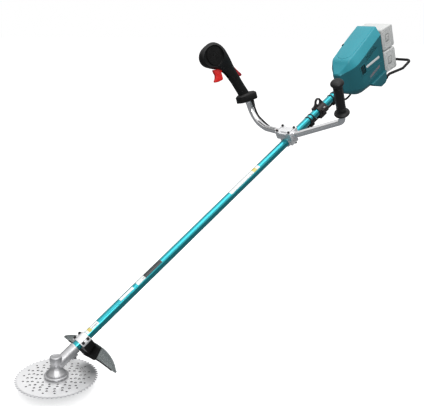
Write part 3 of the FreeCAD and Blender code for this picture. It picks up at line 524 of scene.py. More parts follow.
def lathe(profile, sides=64, ripple=lambda angle, height: 1.0, capped=True):
    """Turn (radius, height) pairs about z; ripple scales the radius round the turn."""
    rings = []
    for radius, height in profile:
        ring = []
        for i in range(sides):
            angle = 2 * math.pi * i / sides
            reach = radius * ripple(angle, height)
            ring.append((reach * math.cos(angle), reach * math.sin(angle), height))
        rings.append(ring)
    return loft(rings, capped, capped)


def prism(outline, sweep):
    """A closed outline of 3-D points swept along a vector."""
    far = [tuple(Vector(p) + Vector(sweep)) for p in outline]
    return loft([outline, far])


def slab(low, high):
    x1, y1, z1 = low
    x2, y2, z2 = high
    return prism([(x1, y1, z1), (x2, y1, z1), (x2, y2, z1), (x1, y2, z1)], (0, 0, z2 - z1))


def joined(shapes):
    """Several shapes as one."""
    points, faces = [], []
    for more_points, more_faces in shapes:
        start = len(points)
        points += more_points
        faces += [tuple(start + i for i in face) for face in more_faces]
    return points, faces


def moved(shape, matrix):
    return [tuple(matrix @ Vector(p)) for p in shape[0]], shape[1]


def rounded(corners, radii, steps=5):
    """A closed flat outline of (u, v) corners, each rounded off by its radius."""
    ring = []
    for i, corner in enumerate(corners):
        here = Vector(corner)
        back = Vector(corners[i - 1]) - here
        ahead = Vector(corners[(i + 1) % len(corners)]) - here
        turn = math.pi - back.angle(ahead)
        reach = min(radii[i] * math.tan(turn / 2), 0.48 * back.length, 0.48 * ahead.length)
        start = here + back.normalized() * reach
        end = here + ahead.normalized() * reach
        for k in range(steps + 1):
            t = k / steps
            ring.append(start * (1 - t) ** 2 + here * (2 * t * (1 - t)) + end * t * t)
    return ring


def between(stations, place):
    """Smooth values at a place, from rows that start with their place."""
    last = len(stations) - 1
    i = 0
    while i < last - 1 and place > stations[i + 1][0]:
        i += 1
    low, high = stations[i], stations[i + 1]
    t = min(1.0, max(0.0, (place - low[0]) / (high[0] - low[0])))
    before, after = stations[max(0, i - 1)], stations[min(last, i + 2)]
    span = high[0] - low[0]
    values = []
    for k in range(1, len(low)):
        slope_low = (high[k] - before[k]) / (high[0] - before[0]) * span
        slope_high = (after[k] - low[k]) / (after[0] - low[0]) * span
        values.append((2 * t ** 3 - 3 * t ** 2 + 1) * low[k] + (t ** 3 - 2 * t ** 2 + t) * slope_low
                      + (3 * t ** 2 - 2 * t ** 3) * high[k] + (t ** 3 - t ** 2) * slope_high)
    return values


def pane(low, high, radius, steps=4):
    """Outline of a rectangle between two (u, v) corners, rounded off."""
    (u1, v1), (u2, v2) = low, high
    return rounded([(u1, v1), (u2, v1), (u2, v2), (u1, v2)], [radius] * 4, steps)


def across(outline, start, sweep):
    """A flat (y, z) outline stood at x = start and swept along x."""
    return prism([(start, p.x, p.y) for p in outline], (sweep, 0, 0))


def smooth_outline(corners, steps=6):
    """A closed Catmull-Rom curve through (u, v) corners."""
    count = len(corners)
    ring = []
    for i in range(count):
        a, b, c, d = (Vector(corners[(i + k) % count]) for k in (-1, 0, 1, 2))
        for k in range(steps):
            t = k / steps
            ring.append(0.5 * (2 * b + (c - a) * t + (2 * a - 5 * b + 4 * c - d) * t * t
                               + (3 * b - a - 3 * c + d) * t ** 3))
    return ring


def solid(name, shape, place):
    """A mesh object of a shape, moved into the row frame."""
    mesh = bpy.data.meshes.new(name)
    mesh.from_pydata([place @ Vector(p) for p in shape[0]], [], shape[1])
    work = bmesh.new()
    work.from_mesh(mesh)
    bmesh.ops.remove_doubles(work, verts=work.verts, dist=1e-6)
    bmesh.ops.recalc_face_normals(work, faces=work.faces)
    work.to_mesh(mesh)
    work.free()
    return link(name, mesh)


def modify(thing, kind, **settings):
    modifier = thing.modifiers.new(kind.lower(), kind)
    for key, value in settings.items():
        setattr(modifier, key, value)


def bevel(thing, width, segments=3, angle=30):
    modify(thing, "BEVEL", width=width * MM, segments=segments, limit_method="ANGLE",
           angle_limit=math.radians(angle), harden_normals=False)


def carve(thing, cutters, place, operation="DIFFERENCE"):
    """Cut shapes out of a mesh object, or fuse them to it."""
    for cutter_shape in cutters:
        cutter = solid("cutter", cutter_shape, place)
        modify(thing, "BOOLEAN", operation=operation, object=cutter, solver="EXACT")
        settle(thing)
        bpy.data.objects.remove(cutter)


def settle(thing, sharp=35):
    """Apply every modifier, shade smooth and keep the edges past the sharp angle crisp."""
    graph = bpy.context.evaluated_depsgraph_get()
    mesh = bpy.data.meshes.new_from_object(thing.evaluated_get(graph), depsgraph=graph)
    thing.modifiers.clear()
    thing.data = mesh
    mesh.polygons.foreach_set("use_smooth", [True] * len(mesh.polygons))
    mesh.set_sharp_from_angle(angle=math.radians(sharp))


def slice_off(thing, point, normal, place):
    """Remove what lies beyond a plane given in the shape's own frame."""
    spot = place @ Vector(point)
    direction = (place.to_3x3() @ Vector(normal)).normalized()
    work = bmesh.new()
    work.from_mesh(thing.data)
    bmesh.ops.bisect_plane(work, geom=work.verts[:] + work.edges[:] + work.faces[:], plane_co=spot,
                           plane_no=direction, clear_outer=True)
    work.to_mesh(thing.data)
    work.free()


def finished(thing, body, slot, *nodes, sharp=35):
    """Settle a piece, paint it, put it on its body and let it stand for its CAD nodes."""
    settle(thing, sharp)
    thing.data.materials.clear()
    thing.data.materials.append(LABELS[slot] if slot in LABELS else FINISHES[slot])
    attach(thing, body)
    if nodes:
        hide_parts(*nodes)
    return thing


def piece(name, shape, place, body, slot, *nodes, soft=None, sharp=35):
    """A piece that needs no cutting; soft is the (width, segments) of its rounded edges."""
    thing = solid(name, shape, place)
    if soft:
        bevel(thing, *soft)
    return finished(thing, body, slot, *nodes, sharp=sharp)


# ---- motor housing ----
# y, half width at the shoulder, plateau half width, top, lower shoulder, belly half width, belly
HOUSING = [
    (1383, 17, 9, 63, -9, 12, -20),
    (1398, 28, 21, 73, -17, 20, -32),
    (1412, 41, 31, 83, -23, 26, -42),
    (1426, 50, 37, 94, -28, 31, -50),
    (1446, 57, 39, 98, -33, 35, -54),
    (1530, 58, 42, 114, -43, 45, -55),
    (REAR_TOP, 58, 41, 127, -47, 48, -54),
]
LEAN_FROM = 1530.0             # behind this the sections start to lean with the rear face
LOUVRES = 4
LOUVRE_FRONT = 1488.0
LOUVRE_REAR = 1550.0
LOUVRE_HIGH = 3.4
LOUVRE_PITCH = 5.2
SEAM_GAP = 0.3
CROWN_FRONT = 1430.0
CROWN_MARGIN = 7.0             # bare strip of the plateau beside the crown
CROWN_NOSE = 0.22              # share of the crown's length that its curved front takes


def seam(y):
    """Height of the seam between the hood and the side halves."""
    return SEAM_REAR_Z - SEAM_SLOPE * (REAR_TOP - y)


def leaned(y, z):
    """The y of a point once its section leans with the rear face."""
    share = max(0.0, (y - LEAN_FROM) / (REAR_TOP - LEAN_FROM))
    return y - share * REAR_LEAN * (SEAM_REAR_Z - z)


def housing_ring(y, shrink=1.0, forward=0.0):
    """One rounded section; shrink pulls it in towards the pipe axis for the closed nose."""
    shoulder, plateau, top, low, belly, bottom = between(HOUSING, y)
    half = [(plateau, top), (shoulder, seam(y)), (shoulder, low), (belly, bottom)]
    corners = half + [(-x, z) for x, z in reversed(half)]
    radii = [5, 2.0, 16, 18]
    ring = rounded(corners, radii + radii[::-1])
    return [(p.x * shrink, leaned(y, p.y) - forward, p.y * shrink) for p in ring]


def wall_x(y):
    """Half width of the housing at the shoulder."""
    return between(HOUSING, y)[0]


def housing_skin():
    """The whole housing as one skin, closed at the nose and open at the rear."""
    nose = HOUSING[0][0]
    rings = [housing_ring(nose, shrink, forward)
             for shrink, forward in ((0.5, 2.2), (0.84, 1.9), (0.95, 1.0))]
    steps = 34
    for i in range(steps + 1):
        rings.append(housing_ring(nose + (REAR_TOP - nose) * (i / steps) ** 1.6))
    return loft(rings, True, False)


def louvre(i, high, margin=0.0):
    """Corners (y, z) of one of the slots below the hood, grown by a margin at its ends."""
    start = LOUVRE_FRONT + i - margin
    end = LOUVRE_REAR + 5 * i + margin
    drop = 6.0 + LOUVRE_PITCH * i
    return [(start, seam(start) - drop), (end, seam(end) - drop),
            (end, seam(end) - drop - high), (start, seam(start) - drop - high)]


def side_slots(side):
    """Louvres under the hood and the opening of the air intake, through one side wall."""
    cutters = []
    for i in range(LOUVRES):
        cutters.append(across(rounded(louvre(i, LOUVRE_HIGH), [1.2] * 4, 3), side * 50, side * 20))
    cutters.append(across(pane(*WINDOW, 3), side * 40, side * 30))
    return cutters


def on_wall(side, outline, lift, depth):
    """A plate that follows the side wall: outline of (y, z), standing lift proud of it."""
    outer = [(side * (wall_x(y) + lift), leaned(y, z), z) for y, z in outline]
    inner = [(side * (wall_x(y) - depth), leaned(y, z), z) for y, z in outline]
    return loft([outer, inner])


def wall_frame(side, low, high, width, lift):
    """A raised rectangular rim on the side wall."""
    (y1, z1), (y2, z2) = low, high
    outer = pane(low, high, 5)
    inner = pane((y1 + width, z1 + width), (y2 - width, z2 - width), 3)
    rings = []
    for outline, rise in ((outer, -1.0), (outer, lift), (inner, lift), (inner, -1.0)):
        rings.append([(side * (wall_x(p.x) + rise), leaned(p.x, p.y), p.y) for p in outline])
    return loft(rings + [rings[0]], False, False)


def strip_on_wall(side, start, end, high, lift):
    """A raised rib on the side wall from (y, z) to (y, z)."""
    (y1, z1), (y2, z2) = start, end
    steps = 8
    lower = [(y1 + (y2 - y1) * i / steps, z1 + (z2 - z1) * i / steps) for i in range(steps + 1)]
    upper = [(y, z + high) for y, z in reversed(lower)]
    return on_wall(side, lower + upper, lift, 1.0)


def foot(side):
    """Moulded foot that carries one end of the guard rod."""
    x = side * FOOT_X[0]
    rear = leaned(REAR_TOP, -36) - 0.6
    return prism([(x, 1478, -36), (x, 1480, -46), (x, 1522, -76), (x, 1550, -76), (x, 1559, -70),
                  (x, 1566, -50), (x, rear, -36)], (side * (FOOT_X[1] - FOOT_X[0]), 0, 0))


def hollow(shell):
    """Give a housing skin its moulded wall, inwards."""
    modify(shell, "SOLIDIFY", thickness=WALL * MM, offset=-1, use_even_offset=True)
    settle(shell)


def housing():
    """Top hood and two side halves cut from one skin, with their feet, relief and labels."""
    skin = housing_skin()
    seam_normal = Vector((0, -SEAM_SLOPE, 1))
    hood = solid("hood_shell", skin, PIPE)
    slice_off(hood, (0, REAR_TOP, SEAM_REAR_Z + SEAM_GAP), -seam_normal, PIPE)
    hollow(hood)
    bevel(hood, 0.5, 2, 50)
    finished(hood, "machine", "hood_teal", "top_hood", sharp=28)

    for side, name in ((1, "left_housing"), (-1, "right_housing")):
        half = solid(name + "_shell", skin, PIPE)
        slice_off(half, (0, REAR_TOP, SEAM_REAR_Z - SEAM_GAP), seam_normal, PIPE)
        slice_off(half, (side * 0.15, 0, 0), (-side, 0, 0), PIPE)
        hollow(half)
        carve(half, side_slots(side), PIPE)
        bevel(half, 0.4, 2, 50)
        # housing_teal is the hood's teal darkened: painted shade on the side walls
        finished(half, "machine", "housing_teal", name, sharp=28)
        rod_foot(side, name)
        wall_relief(side, name)
        wall_labels(side, name)
    hood_details()


def rod_foot(side, name):
    """Foot of the guard rod, bored for its bush, and the flange where the rod goes in."""
    flange = lathe([(ROD_R, 1553), (7.2, 1553), (8.0, 1554), (8.0, 1568), (7.2, 1569), (ROD_R, 1569)], 40)
    at_foot = Matrix.Translation((side * ROD_X, 0, ROD_Z)) @ ALONG
    piece(name + "_rod_flange", moved(flange, at_foot), PIPE, "machine", "black_plastic")
    block = solid(name + "_foot", foot(side), PIPE)
    bevel(block, 3, 4)
    settle(block)
    carve(block, [rod_between((side * ROD_X, 1531, ROD_Z), (side * ROD_X, 1580, ROD_Z), 7.52)], PIPE)
    finished(block, "machine", "housing_teal")


def wall_relief(side, name):
    """Rims and ribs on the wall, black plates in the louvres as painted shade, and bars in the intake."""
    (y1, z1), (y2, z2) = WINDOW
    ridges = [wall_frame(side, (y1 - 4, z1 - 4), (y2 + 4, z2 + 4), 4.2, 1.4),
              strip_on_wall(side, (y2 + 6, 15), (1578, 3), 1.8, 0.9),
              strip_on_wall(side, (1470, -24), (1570, -17), 1.8, 0.9)]
    for i in range(LOUVRES + 1):
        start, end = LOUVRE_FRONT - 2 + i, LOUVRE_REAR + 2 + 5 * i
        drop = 5.4 + LOUVRE_PITCH * i
        ridges.append(strip_on_wall(side, (start, seam(start) - drop), (end, seam(end) - drop), 0.9, 0.7))
    piece(name + "_ridges", joined(ridges), PIPE, "machine", "housing_teal", soft=(0.5, 2))
    # painted shade: black plates set into the louvre slots stand in for the shade inside them
    dark = [on_wall(side, louvre(i, LOUVRE_HIGH, 0.4), -0.9, 2.2) for i in range(LOUVRES)]
    piece(name + "_louvre_painted_shade", joined(dark), PIPE, "machine", "black_plastic", soft=(0.2, 2))
    bars = [on_wall(side, [(y, z1 + 3), (y + 1.6, z1 + 3), (y + 1.6, z2 - 3), (y, z2 - 3)], -1.0, 2.4)
            for y in (y1 + 4, y1 + 9, y1 + 14, y1 + 19)]
    piece(name + "_intake_bars", joined(bars), PIPE, "machine", "housing_teal", soft=(0.3, 2))


def wall_labels(side, name):
    """Plain data plate and plain pale badge on the side wall."""
    plate = [(1484, -17), (1560, -9), (1560, 1), (1484, -7)]
    piece(name + "_data_label", on_wall(side, plate, 0.25, 0.5), PIPE, "machine", "label_grey")
    stripe = [(1480, 30), (1568, 23), (1568, 32), (1480, 39)]
    piece(name + "_badge", on_wall(side, stripe, 0.5, 0.5), PIPE, "machine", "label_white", soft=(0.3, 2))


def hood_height(y):
    """Top of the hood on its plateau."""
    return between(HOUSING, y)[2]


def hood_details():
    """Raised crown of the hood with a curved front edge, and its locating notch."""
    front, rear = CROWN_FRONT, REAR_TOP - 8
    rings = []
    for lift, edge in ((-0.6, 0.0), (1.1, 0.6), (1.4, 1.6)):
        ring = []
        for x, y in crown_outline(front, rear, edge):
            ring.append((x, leaned(y, hood_height(y)), hood_height(y) + lift))
        rings.append(ring)
    piece("hood_crown", loft(rings), PIPE, "machine", "hood_teal", sharp=25)
    notch = slab((-43, 1497, 104), (-37, 1509, 110))
    piece("hood_notch", notch, PIPE, "machine", "black_plastic", soft=(1, 2))


def crown_outline(front, rear, edge):
    """Plan outline of the crown: plateau width less a margin, with a rounded nose."""
    steps = 28
    right = []
    for i in range(steps + 1):
        share = i / steps
        y = front + edge + (rear - front - 2 * edge) * share
        plateau = between(HOUSING, y)[1] - CROWN_MARGIN - edge
        nose = min(1.0, share / CROWN_NOSE)
        right.append((plateau * math.sqrt(max(0.0, 1 - (1 - nose) ** 2)), y))
    left = [(-x, y) for x, y in reversed(right[1:])]
    return right + left


def rod_between(start, end, radius, sides=40):
    """A straight round bar."""
    start, end = Vector(start), Vector(end)
    bar = lathe([(radius, 0), (radius, (end - start).length)], sides)
    return moved(bar, Matrix.Translation(start) @ standing(end - start))


# ---- battery packs ----
def battery(label, floor):
    """A slide-in pack: rounded body, an end cap with two upright ribs and a latch recess."""
    name = "battery_" + label
    width, depth, height = BATTERY
    end = width / 2
    front, back = BATTERY_FRONT, BATTERY_FRONT + depth
    top = floor + height
    section = pane((front, floor), (back, top), 7, 6)
    # x along the pack, and how far its section is drawn in there
    stations = [(-end - 1, 2.0), (-end + 1, 0.4), (-end + 3, 0.0), (end - 12, 0.0), (end - 11.4, 0.9),
                (end - 9.6, 0.9), (end - 9, 0.0), (end - 1.5, 0.0), (end, 1.6)]
    middle_y, middle_z = (front + back) / 2, (floor + top) / 2
    rings = []
    for x, inset in stations:
        squeeze_y = 1 - 2 * inset / depth
        squeeze_z = 1 - 2 * inset / height
        rings.append([(x, middle_y + (p.x - middle_y) * squeeze_y,
                       middle_z + (p.y - middle_z) * squeeze_z) for p in section])
    pack = solid(name + "_pack", loft(rings), BAY)
    recess = pane((front + 20, middle_z - 15), (front + 44, middle_z + 15), 4)
    cutters = [across(recess, end - 8, 10)]
    for z in (middle_z - 16, middle_z + 16):
        cutters.append(slab((-80, front - 1, z - 2.6), (48, 10.4, z + 2.6)))
        cutters.append(slab((-80, 9.4, z - 5.6), (48, 13.1, z + 5.6)))
    for z in (-33, -29, -25, 23, 27, 31):
        low = middle_z + z
        cutters.append(slab((end - 1.2, front + 9, low), (end + 1, back - 9, low + 1.8)))
    settle(pack)
    carve(pack, cutters, BAY)
    finished(pack, name, "battery_grey", name, sharp=40)

    ribs = [across(pane((y, floor + 9), (y + 6, top - 9), 3), end - 0.8, 2.2) for y in (front + 9, back - 15)]
    piece(name + "_ribs", joined(ribs), BAY, name, "battery_grey", soft=(1.0, 3))

    pad = pane((front + 22.6, middle_z - 12.4), (front + 41.4, middle_z + 12.4), 3)
    parts = [across(pad, end - 4, 4.6)]
    parts += [slab((end, front + 25, middle_z + z), (end + 1.4, front + 39, middle_z + z + 1.6))
              for z in (-7, -3.5, 0, 3.5, 7)]
    piece(name + "_button", joined(parts), BAY, label + "_latch", "latch_grey", name + "_latch_button",
          soft=(0.6, 2))


def batteries():
    top_floor = BATTERY_TOP - BATTERY[2]
    battery("upper", top_floor)
    battery("lower", top_floor - BATTERY[2] - BATTERY_GAP)


# ---- right handle ----
# height, half width, half depth, shift along y
HANDLE = [(20, 17, 20, 0), (60, 16, 19, 0), (105, 16.5, 20, 0), (140, 18, 24, -2), (163, 21, 33, -8),
          (183, 25, 44, -18), (206, 27, 53, -27), (230, 25, 50, -31), (247, 19, 37, -31), (257, 10, 20, -29)]


def handle_ring(height, shrink=1.0):
    """One section of the handle, between an oval and a rectangle."""
    wide, deep, shift = between(HANDLE, height)
    ring = []
    sides = 56
    for i in range(sides):
        angle = 2 * math.pi * i / sides
        c, s = math.cos(angle), math.sin(angle)
        soft = 0.84
        x = math.copysign(abs(c) ** soft, c) * wide * shrink
        y = math.copysign(abs(s) ** soft, s) * deep * shrink
        ring.append((x, shift + y, height))
    return ring


def right_handle():
    """Two-part handle shell with its dish, slots and grip lines, its clamp block and button ring."""
    handle_shells()
    handle_clamp()
    swell = lathe([(14, 0), (14, 1.2), (12.6, 2.2), (10.4, 2.2), (9.6, 1.4), (9.6, 0)])
    piece("panel_button_ring", moved(swell, facing_panel(13.2, 0, 6)), RIGHT_GRIP, "handlebar",
          "black_plastic")


def facing_panel(x, forward, up):
    """Stands a lathed shape towards the panel's face, off its centre."""
    y, z = PANEL_CENTRE
    return Matrix.Translation((x, y + forward, z + up)) @ Matrix.Rotation(math.pi / 2, 4, "Y")


def handle_shells():
    """Handle body with its openings and grip lines, split into two halves."""
    heights = [20 + 2.4 * i for i in range(98)]
    rings = [handle_ring(h) for h in heights if h < 252]
    rings += [handle_ring(252 + 4.6 * math.sin(a), math.cos(a)) for a in (0.35, 0.7, 1.05, 1.35)]
    body = solid("handle_body", loft(rings), RIGHT_GRIP)
    settle(body)
    dish = lathe([(PANEL_R - 2, 0), (PANEL_R + 1, 1.0), (PANEL_R + 3, 3), (PANEL_R + 4, 7), (PANEL_R + 5, 12),
                  (PANEL_R + 7, 24)])
    oval = Matrix.Diagonal((1.0, 1.15, 1.0, 1.0))
    well = moved(dish, facing_panel(12.9, -8, 3) @ oval)
    button_well = moved(lathe([(7.5, 0), (7.5, 12)]), facing_panel(5, 0, 6))
    y, z = TRIGGER_PIVOT
    trigger_slot = slab((-7.2, -90, z - 45), (7.2, y + 14, z + 8))
    y, z = LEVER_PIVOT
    lever_slot = slab((-6.2, y - 11, z - 59), (6.2, 70, z + 6))
    grip_lines = [slab((-30, -40, h), (30, -18.2, h + 1.4)) for h in (44, 56, 68, 80, 92)]
    carve(body, [well, button_well, trigger_slot, lever_slot] + grip_lines, RIGHT_GRIP)
    outer = body.copy()
    outer.data = body.data.copy()
    outer.name = "handle_outer_half"
    bpy.context.scene.collection.objects.link(outer)
    for half, side, node in ((body, 1, "handle_shell_inner"), (outer, -1, "handle_shell_outer")):
        slice_off(half, (side * 0.12, 0, 0), (-side, 0, 0), RIGHT_GRIP)
        bevel(half, 0.7, 3, 40)
        finished(half, "handlebar", "black_plastic", node, sharp=40)
    body.name = "handle_inner_half"


def handle_clamp():
    """Eight-sided clamp block below the handle, in two halves held by two screws."""
    block = [(-25, -26), (-16, -39), (16, -39), (25, -26), (25, 24), (15, 36), (-15, 36), (-25, 24)]
    tiers = [(-1.4, 0.94), (-0.4, 0.99), (0.6, 1.0), (COLLAR_TALL - 6, 1.0), (COLLAR_TALL - 5, 0.98),
             (COLLAR_TALL + 0.4, 0.80), (COLLAR_TALL + 1, 0.76)]
    ring = rounded(block, [1.6] * 8, 3)
    rings = [[(p.x * scale, p.y * scale, z) for p in ring] for z, scale in tiers]
    leaning = RIGHT_GRIP @ Matrix.Rotation(math.radians(COLLAR_LEAN), 4, "X")
    collar = solid("handle_clamp_block", loft(rings), leaning)
    settle(collar)
    joint_line = slab((-30, -42, 11.0), (30, -36.8, 12.6))
    holes = [rod_between((x, y, -2), (x, y, 5), 3.4, 24) for x, y in ((-15, -18), (15, -18))]
    carve(collar, holes + [joint_line], leaning)
    finished(collar, "handlebar", "black_plastic", "handle_collar", sharp=30)


def blade_of(name, outline, half, pivot, body, slot, node):
    """A rounded plate of a smooth (y, z) outline, half thick each side: trigger and lock lever."""
    y0, z0 = pivot
    ring = smooth_outline(outline, 6)
    centre = sum(ring, Vector((0, 0))) / len(ring)
    rings = []
    for x, inset in ((-half, 1.6), (-half + 0.5, 0.6), (-half + 1.6, 0.0),
                     (half - 1.6, 0.0), (half - 0.5, 0.6), (half, 1.6)):
        drawn_in = [centre + (p - centre) * max(0.0, 1 - inset / (p - centre).length) for p in ring]
        rings.append([(x, y0 + p.x, z0 + p.y) for p in drawn_in])
    piece(name, loft(rings), RIGHT_GRIP, body, slot, node, sharp=50)


def trigger_and_lever():
    trigger = [(5, 4.5), (-10, 5), (-24, 6.5), (-37.5, 14), (-41, 5), (-42, -5), (-48, -14), (-59.5, -22),
               (-51, -28.5), (-38, -32.5), (-26, -34.5), (-20, -24), (-14, -11), (5, -5.5)]
    blade_of("trigger_blade", trigger, 6, TRIGGER_PIVOT, "trigger", "trigger_red", "trigger")
    lever = [(-4, 3), (4, 3), (7.5, -8), (11, -20), (15, -34), (18.5, -47), (13, -51.5), (5, -44), (1, -25),
             (-3, -9)]
    blade_of("lock_lever_blade", lever, 5, LEVER_PIVOT, "lock_off_lever", "lever_red", "lock_off_lever")


# ---- left grip ----
def left_grip():
    """Rubber grip with a mushroom head, a fluted barrel and a dished flange."""
    profile = [(10.6, 0), (22, 0), (24.4, 1), (25.2, 3), (24.6, 5.4), (22, 7.6), (18.0, 9.6),
               (15.6, 12), (14.6, 15)]
    steps = 22
    for i in range(steps + 1):
        share = i / steps
        profile.append((14.4 + 0.9 * math.sin(math.pi * share) ** 2, 17 + 93 * share))
    profile += [(14.6, 113), (16.2, 116), (19.6, 118.2), (21.2, 120.6), (21.4, 123.4), (20.2, 126.6),
                (17.2, 129.8), (13, 132), (8, 133.6), (3, 134)]

    def flutes(angle, height):
        if not 14 < height < 114:
            return 1.0
        fade = math.sin(math.pi * (height - 14) / 100) ** 0.5
        return 1 + 0.035 * fade * math.cos(8 * angle)

    barrel = lathe(profile, 96, flutes)
    piece("left_grip_rubber", barrel, LEFT_GRIP, "handlebar", "grip_rubber", "left_grip", sharp=60)
    rings = [lathe([(14.6, h), (15.6, h + 0.8), (15.6, h + 1.6), (14.6, h + 2.4)], 64)
             for h in (20, 25, 104, 109)]
    piece("left_grip_bands", joined(rings), LEFT_GRIP, "handlebar", "grip_rubber", sharp=60)


# ---- tubes, rods and the cable ----
def bent_line(points, bends, degrees=6.0):
    """Centre line of straight runs joined by tangent arcs, one bend radius for each corner."""
    pts = [Vector(p) for p in points]
    line = [pts[0]]
    for i in range(1, len(pts) - 1):
        back = (pts[i - 1] - pts[i]).normalized()
        ahead = (pts[i + 1] - pts[i]).normalized()
        turn = math.pi - back.angle(ahead)
        centre = pts[i] + (back + ahead).normalized() * (bends[i - 1] / math.cos(turn / 2))
        first = pts[i] + back * bends[i - 1] * math.tan(turn / 2) - centre
        last = pts[i] + ahead * bends[i - 1] * math.tan(turn / 2) - centre
        steps = max(2, round(math.degrees(turn) / degrees))
        for k in range(steps + 1):
            line.append(centre + first.slerp(last, k / steps).normalized() * bends[i - 1])
    line.append(pts[-1])
    return line


def largest_bends(points):
    """The largest tangent arcs that each corner's two runs allow."""
    pts = [Vector(p) for p in points]
    radii = []
    for i in range(1, len(pts) - 1):
        run_in = pts[i] - pts[i - 1]
        run_out = pts[i + 1] - pts[i]
        radii.append(0.45 * min(run_in.length, run_out.length) / math.tan(run_in.angle(run_out) / 2))
    return radii


def swept(line, radius, sides=28):
    """A round tube along a centre line."""
    side = Vector((1, 0, 0))
    if abs((line[1] - line[0]).normalized().x) > 0.9:
        side = Vector((0, 0, 1))
    rings = []
    for i, spot in enumerate(line):
        heading = (line[min(i + 1, len(line) - 1)] - line[max(i - 1, 0)]).normalized()
        side = (side - heading * side.dot(heading)).normalized()
        up = heading.cross(side)
        turns = [2 * math.pi * k / sides for k in range(sides)]
        rings.append([tuple(spot + side * radius * math.cos(a) + up * radius * math.sin(a)) for a in turns])
    return loft(rings)


def handlebar():
    """Bent chrome tube from the right handle over the clamp to the left grip."""
    gx, gy, gz = GRIP_BASE
    lx, ly, lz = (0.75 * c for c in GRIP_LEAN)
    route = [(-gx - lx, gy + ly, gz + lz), (-gx, gy, gz - 8), (-206, 1125, 47), (-170, 1107, 22),
             (-118, 1090, 16), (-46, BAR_Y, BAR_Z), (46, BAR_Y, BAR_Z), (207, 1133, 63), (gx, gy, gz),
             (gx + lx, gy + ly, gz + lz)]
    tube = swept(bent_line(route, BAR_BENDS, 4.0), BAR_R, 48)
    piece("handlebar_tube", tube, PIPE, "handlebar", "bar_chrome", "handlebar", sharp=60)


def guard_rod():
    """Black bar with a dipped coat, bent round behind the battery packs."""
    half = [(ROD_X, 1536, ROD_Z), (ROD_X, 1590, ROD_Z), (ROD_X, 1672, -92), (ROD_X, 1728, -91)]
    route = half + [(-x, y, z) for x, y, z in reversed(half)]
    bar = swept(bent_line(route, ROD_BENDS, 5.0), ROD_R + ROD_COAT, 32)
    piece("guard_rod_bar", bar, PIPE, "machine", "rod_black", "battery_guard_rod", sharp=60)


def boot_ends():
    """Upper and lower end of the cable boot, in the pipe frame."""
    into_pipe = PIPE.inverted() @ RIGHT_GRIP
    top = into_pipe @ Vector(BOOT_TOP)
    return top, top + Vector(BOOT_AIM).normalized() * BOOT_LENGTH


def control_cable():
    """Ribbed boot below the right handle, and the cable from it to the machine."""
    top, leaving = boot_ends()
    aim = (leaving - top).normalized()
    stand = Matrix.Translation(top) @ standing(aim)
    profile = [(4.0, -5.0), (6.2, -2.0), (8.0, 0.0)]
    for i in range(6):
        low = 1.5 + 4.7 * i
        wide = 8.8 - 0.7 * i
        profile += [(wide, low), (wide, low + 2.2), (wide - 1.2, low + 2.8), (wide - 1.2, low + 4.2)]
    profile += [(4.6, BOOT_LENGTH - 0.6), (3.9, BOOT_LENGTH)]
    boot = moved(lathe(profile, 32), stand)
    piece("cable_boot_ribs", boot, PIPE, "handlebar", "grip_rubber", "cable_boot", sharp=45)

    crossing = (-42, 1113, -18)                # where it has reached the machine
    route = [leaving, leaving + aim * 34, (-146, 1124, -2), (-94, 1109, -9), crossing,
             (-9, 1134, CABLE_Z), (0, 1158, CABLE_Z), (0, 1362, CABLE_Z), (0, 1384, -50), (0, 1410, -54),
             (0, 1446, -44)]
    line = bent_line(route, largest_bends(route), 4.0)
    cable = solid("control_cable_sheath", swept(line, CABLE_R, 20), PIPE)
    settle(cable, 60)
    cable.data.materials.append(FINISHES["cable_black"])
    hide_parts("control_cable")
    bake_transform(cable)


# ---- gear head ----
def gear_case():
    """Casting of the gear head: capped drum, waisted flared skirt, neck round the pipe, screw boss."""
    profile = [(0.01, 29.6), (9.2, 29.8), (10.2, 30.8), (13.0, 31), (15.6, 29.8), (16.8, 27.4), (17, 18),
               (16.4, 14), (15.0, 9), (14.8, 4), (15.6, -1), (18.6, -7), (23.4, -14), (27.2, -19),
               (28.3, -21), (28.3, CASE_LOW), (0.01, CASE_LOW)]

    def facets(angle, height):
        if not -20 < height < 2:
            return 1.0
        return 1 - 0.035 * abs(math.sin(4 * angle)) * math.sin(math.pi * (2 - height) / 22)

    case = solid("gear_case_casting", lathe(profile, 96, facets), BLADE)
    settle(case)
    neck = moved(lathe([(15.8, 6), (16.6, 9), (16.6, 66), (17, 68), (17, 73), (16.4, NECK_REAR)], 72), ALONG)
    into_blade = BLADE.inverted() @ PIPE
    boss = slab((-5, 45, -24), (5, 66, -10))
    rib = prism([(-1.6, 12, 15), (-1.6, 30, 16), (-1.6, 12, 24)], (3.2, 0, 0))
    carve(case, [moved(neck, into_blade), moved(boss, into_blade), moved(rib, into_blade)], BLADE, "UNION")
    modify(case, "REMESH", mode="VOXEL", voxel_size=0.8 * MM, use_smooth_shade=True)
    modify(case, "SMOOTH", factor=0.6, iterations=5)
    settle(case, 60)
    bore = moved(lathe([(PIPE_R + 0.02, 39), (PIPE_R + 0.02, 80)], 64), ALONG)
    carve(case, [moved(bore, into_blade)], BLADE)
    finished(case, "machine", "cast_alloy", "gear_case", sharp=50)

    skirt = [(17, CASE_LOW), (29.5, CASE_LOW + 0.2), (31.4, CASE_LOW - 0.1), (33.4, CASE_LOW - 1.0),
             (34, CASE_LOW - 2), (34, CASE_LOW - 3), (32.5, CASE_LOW - 3), (32.4, CASE_LOW - 1.9),
             (17, CASE_LOW - 1.9)]
    piece("dust_cover_ring", lathe(skirt, 96), BLADE, "machine", "cast_alloy", "dust_cover",
          soft=(0.2, 2), sharp=40)


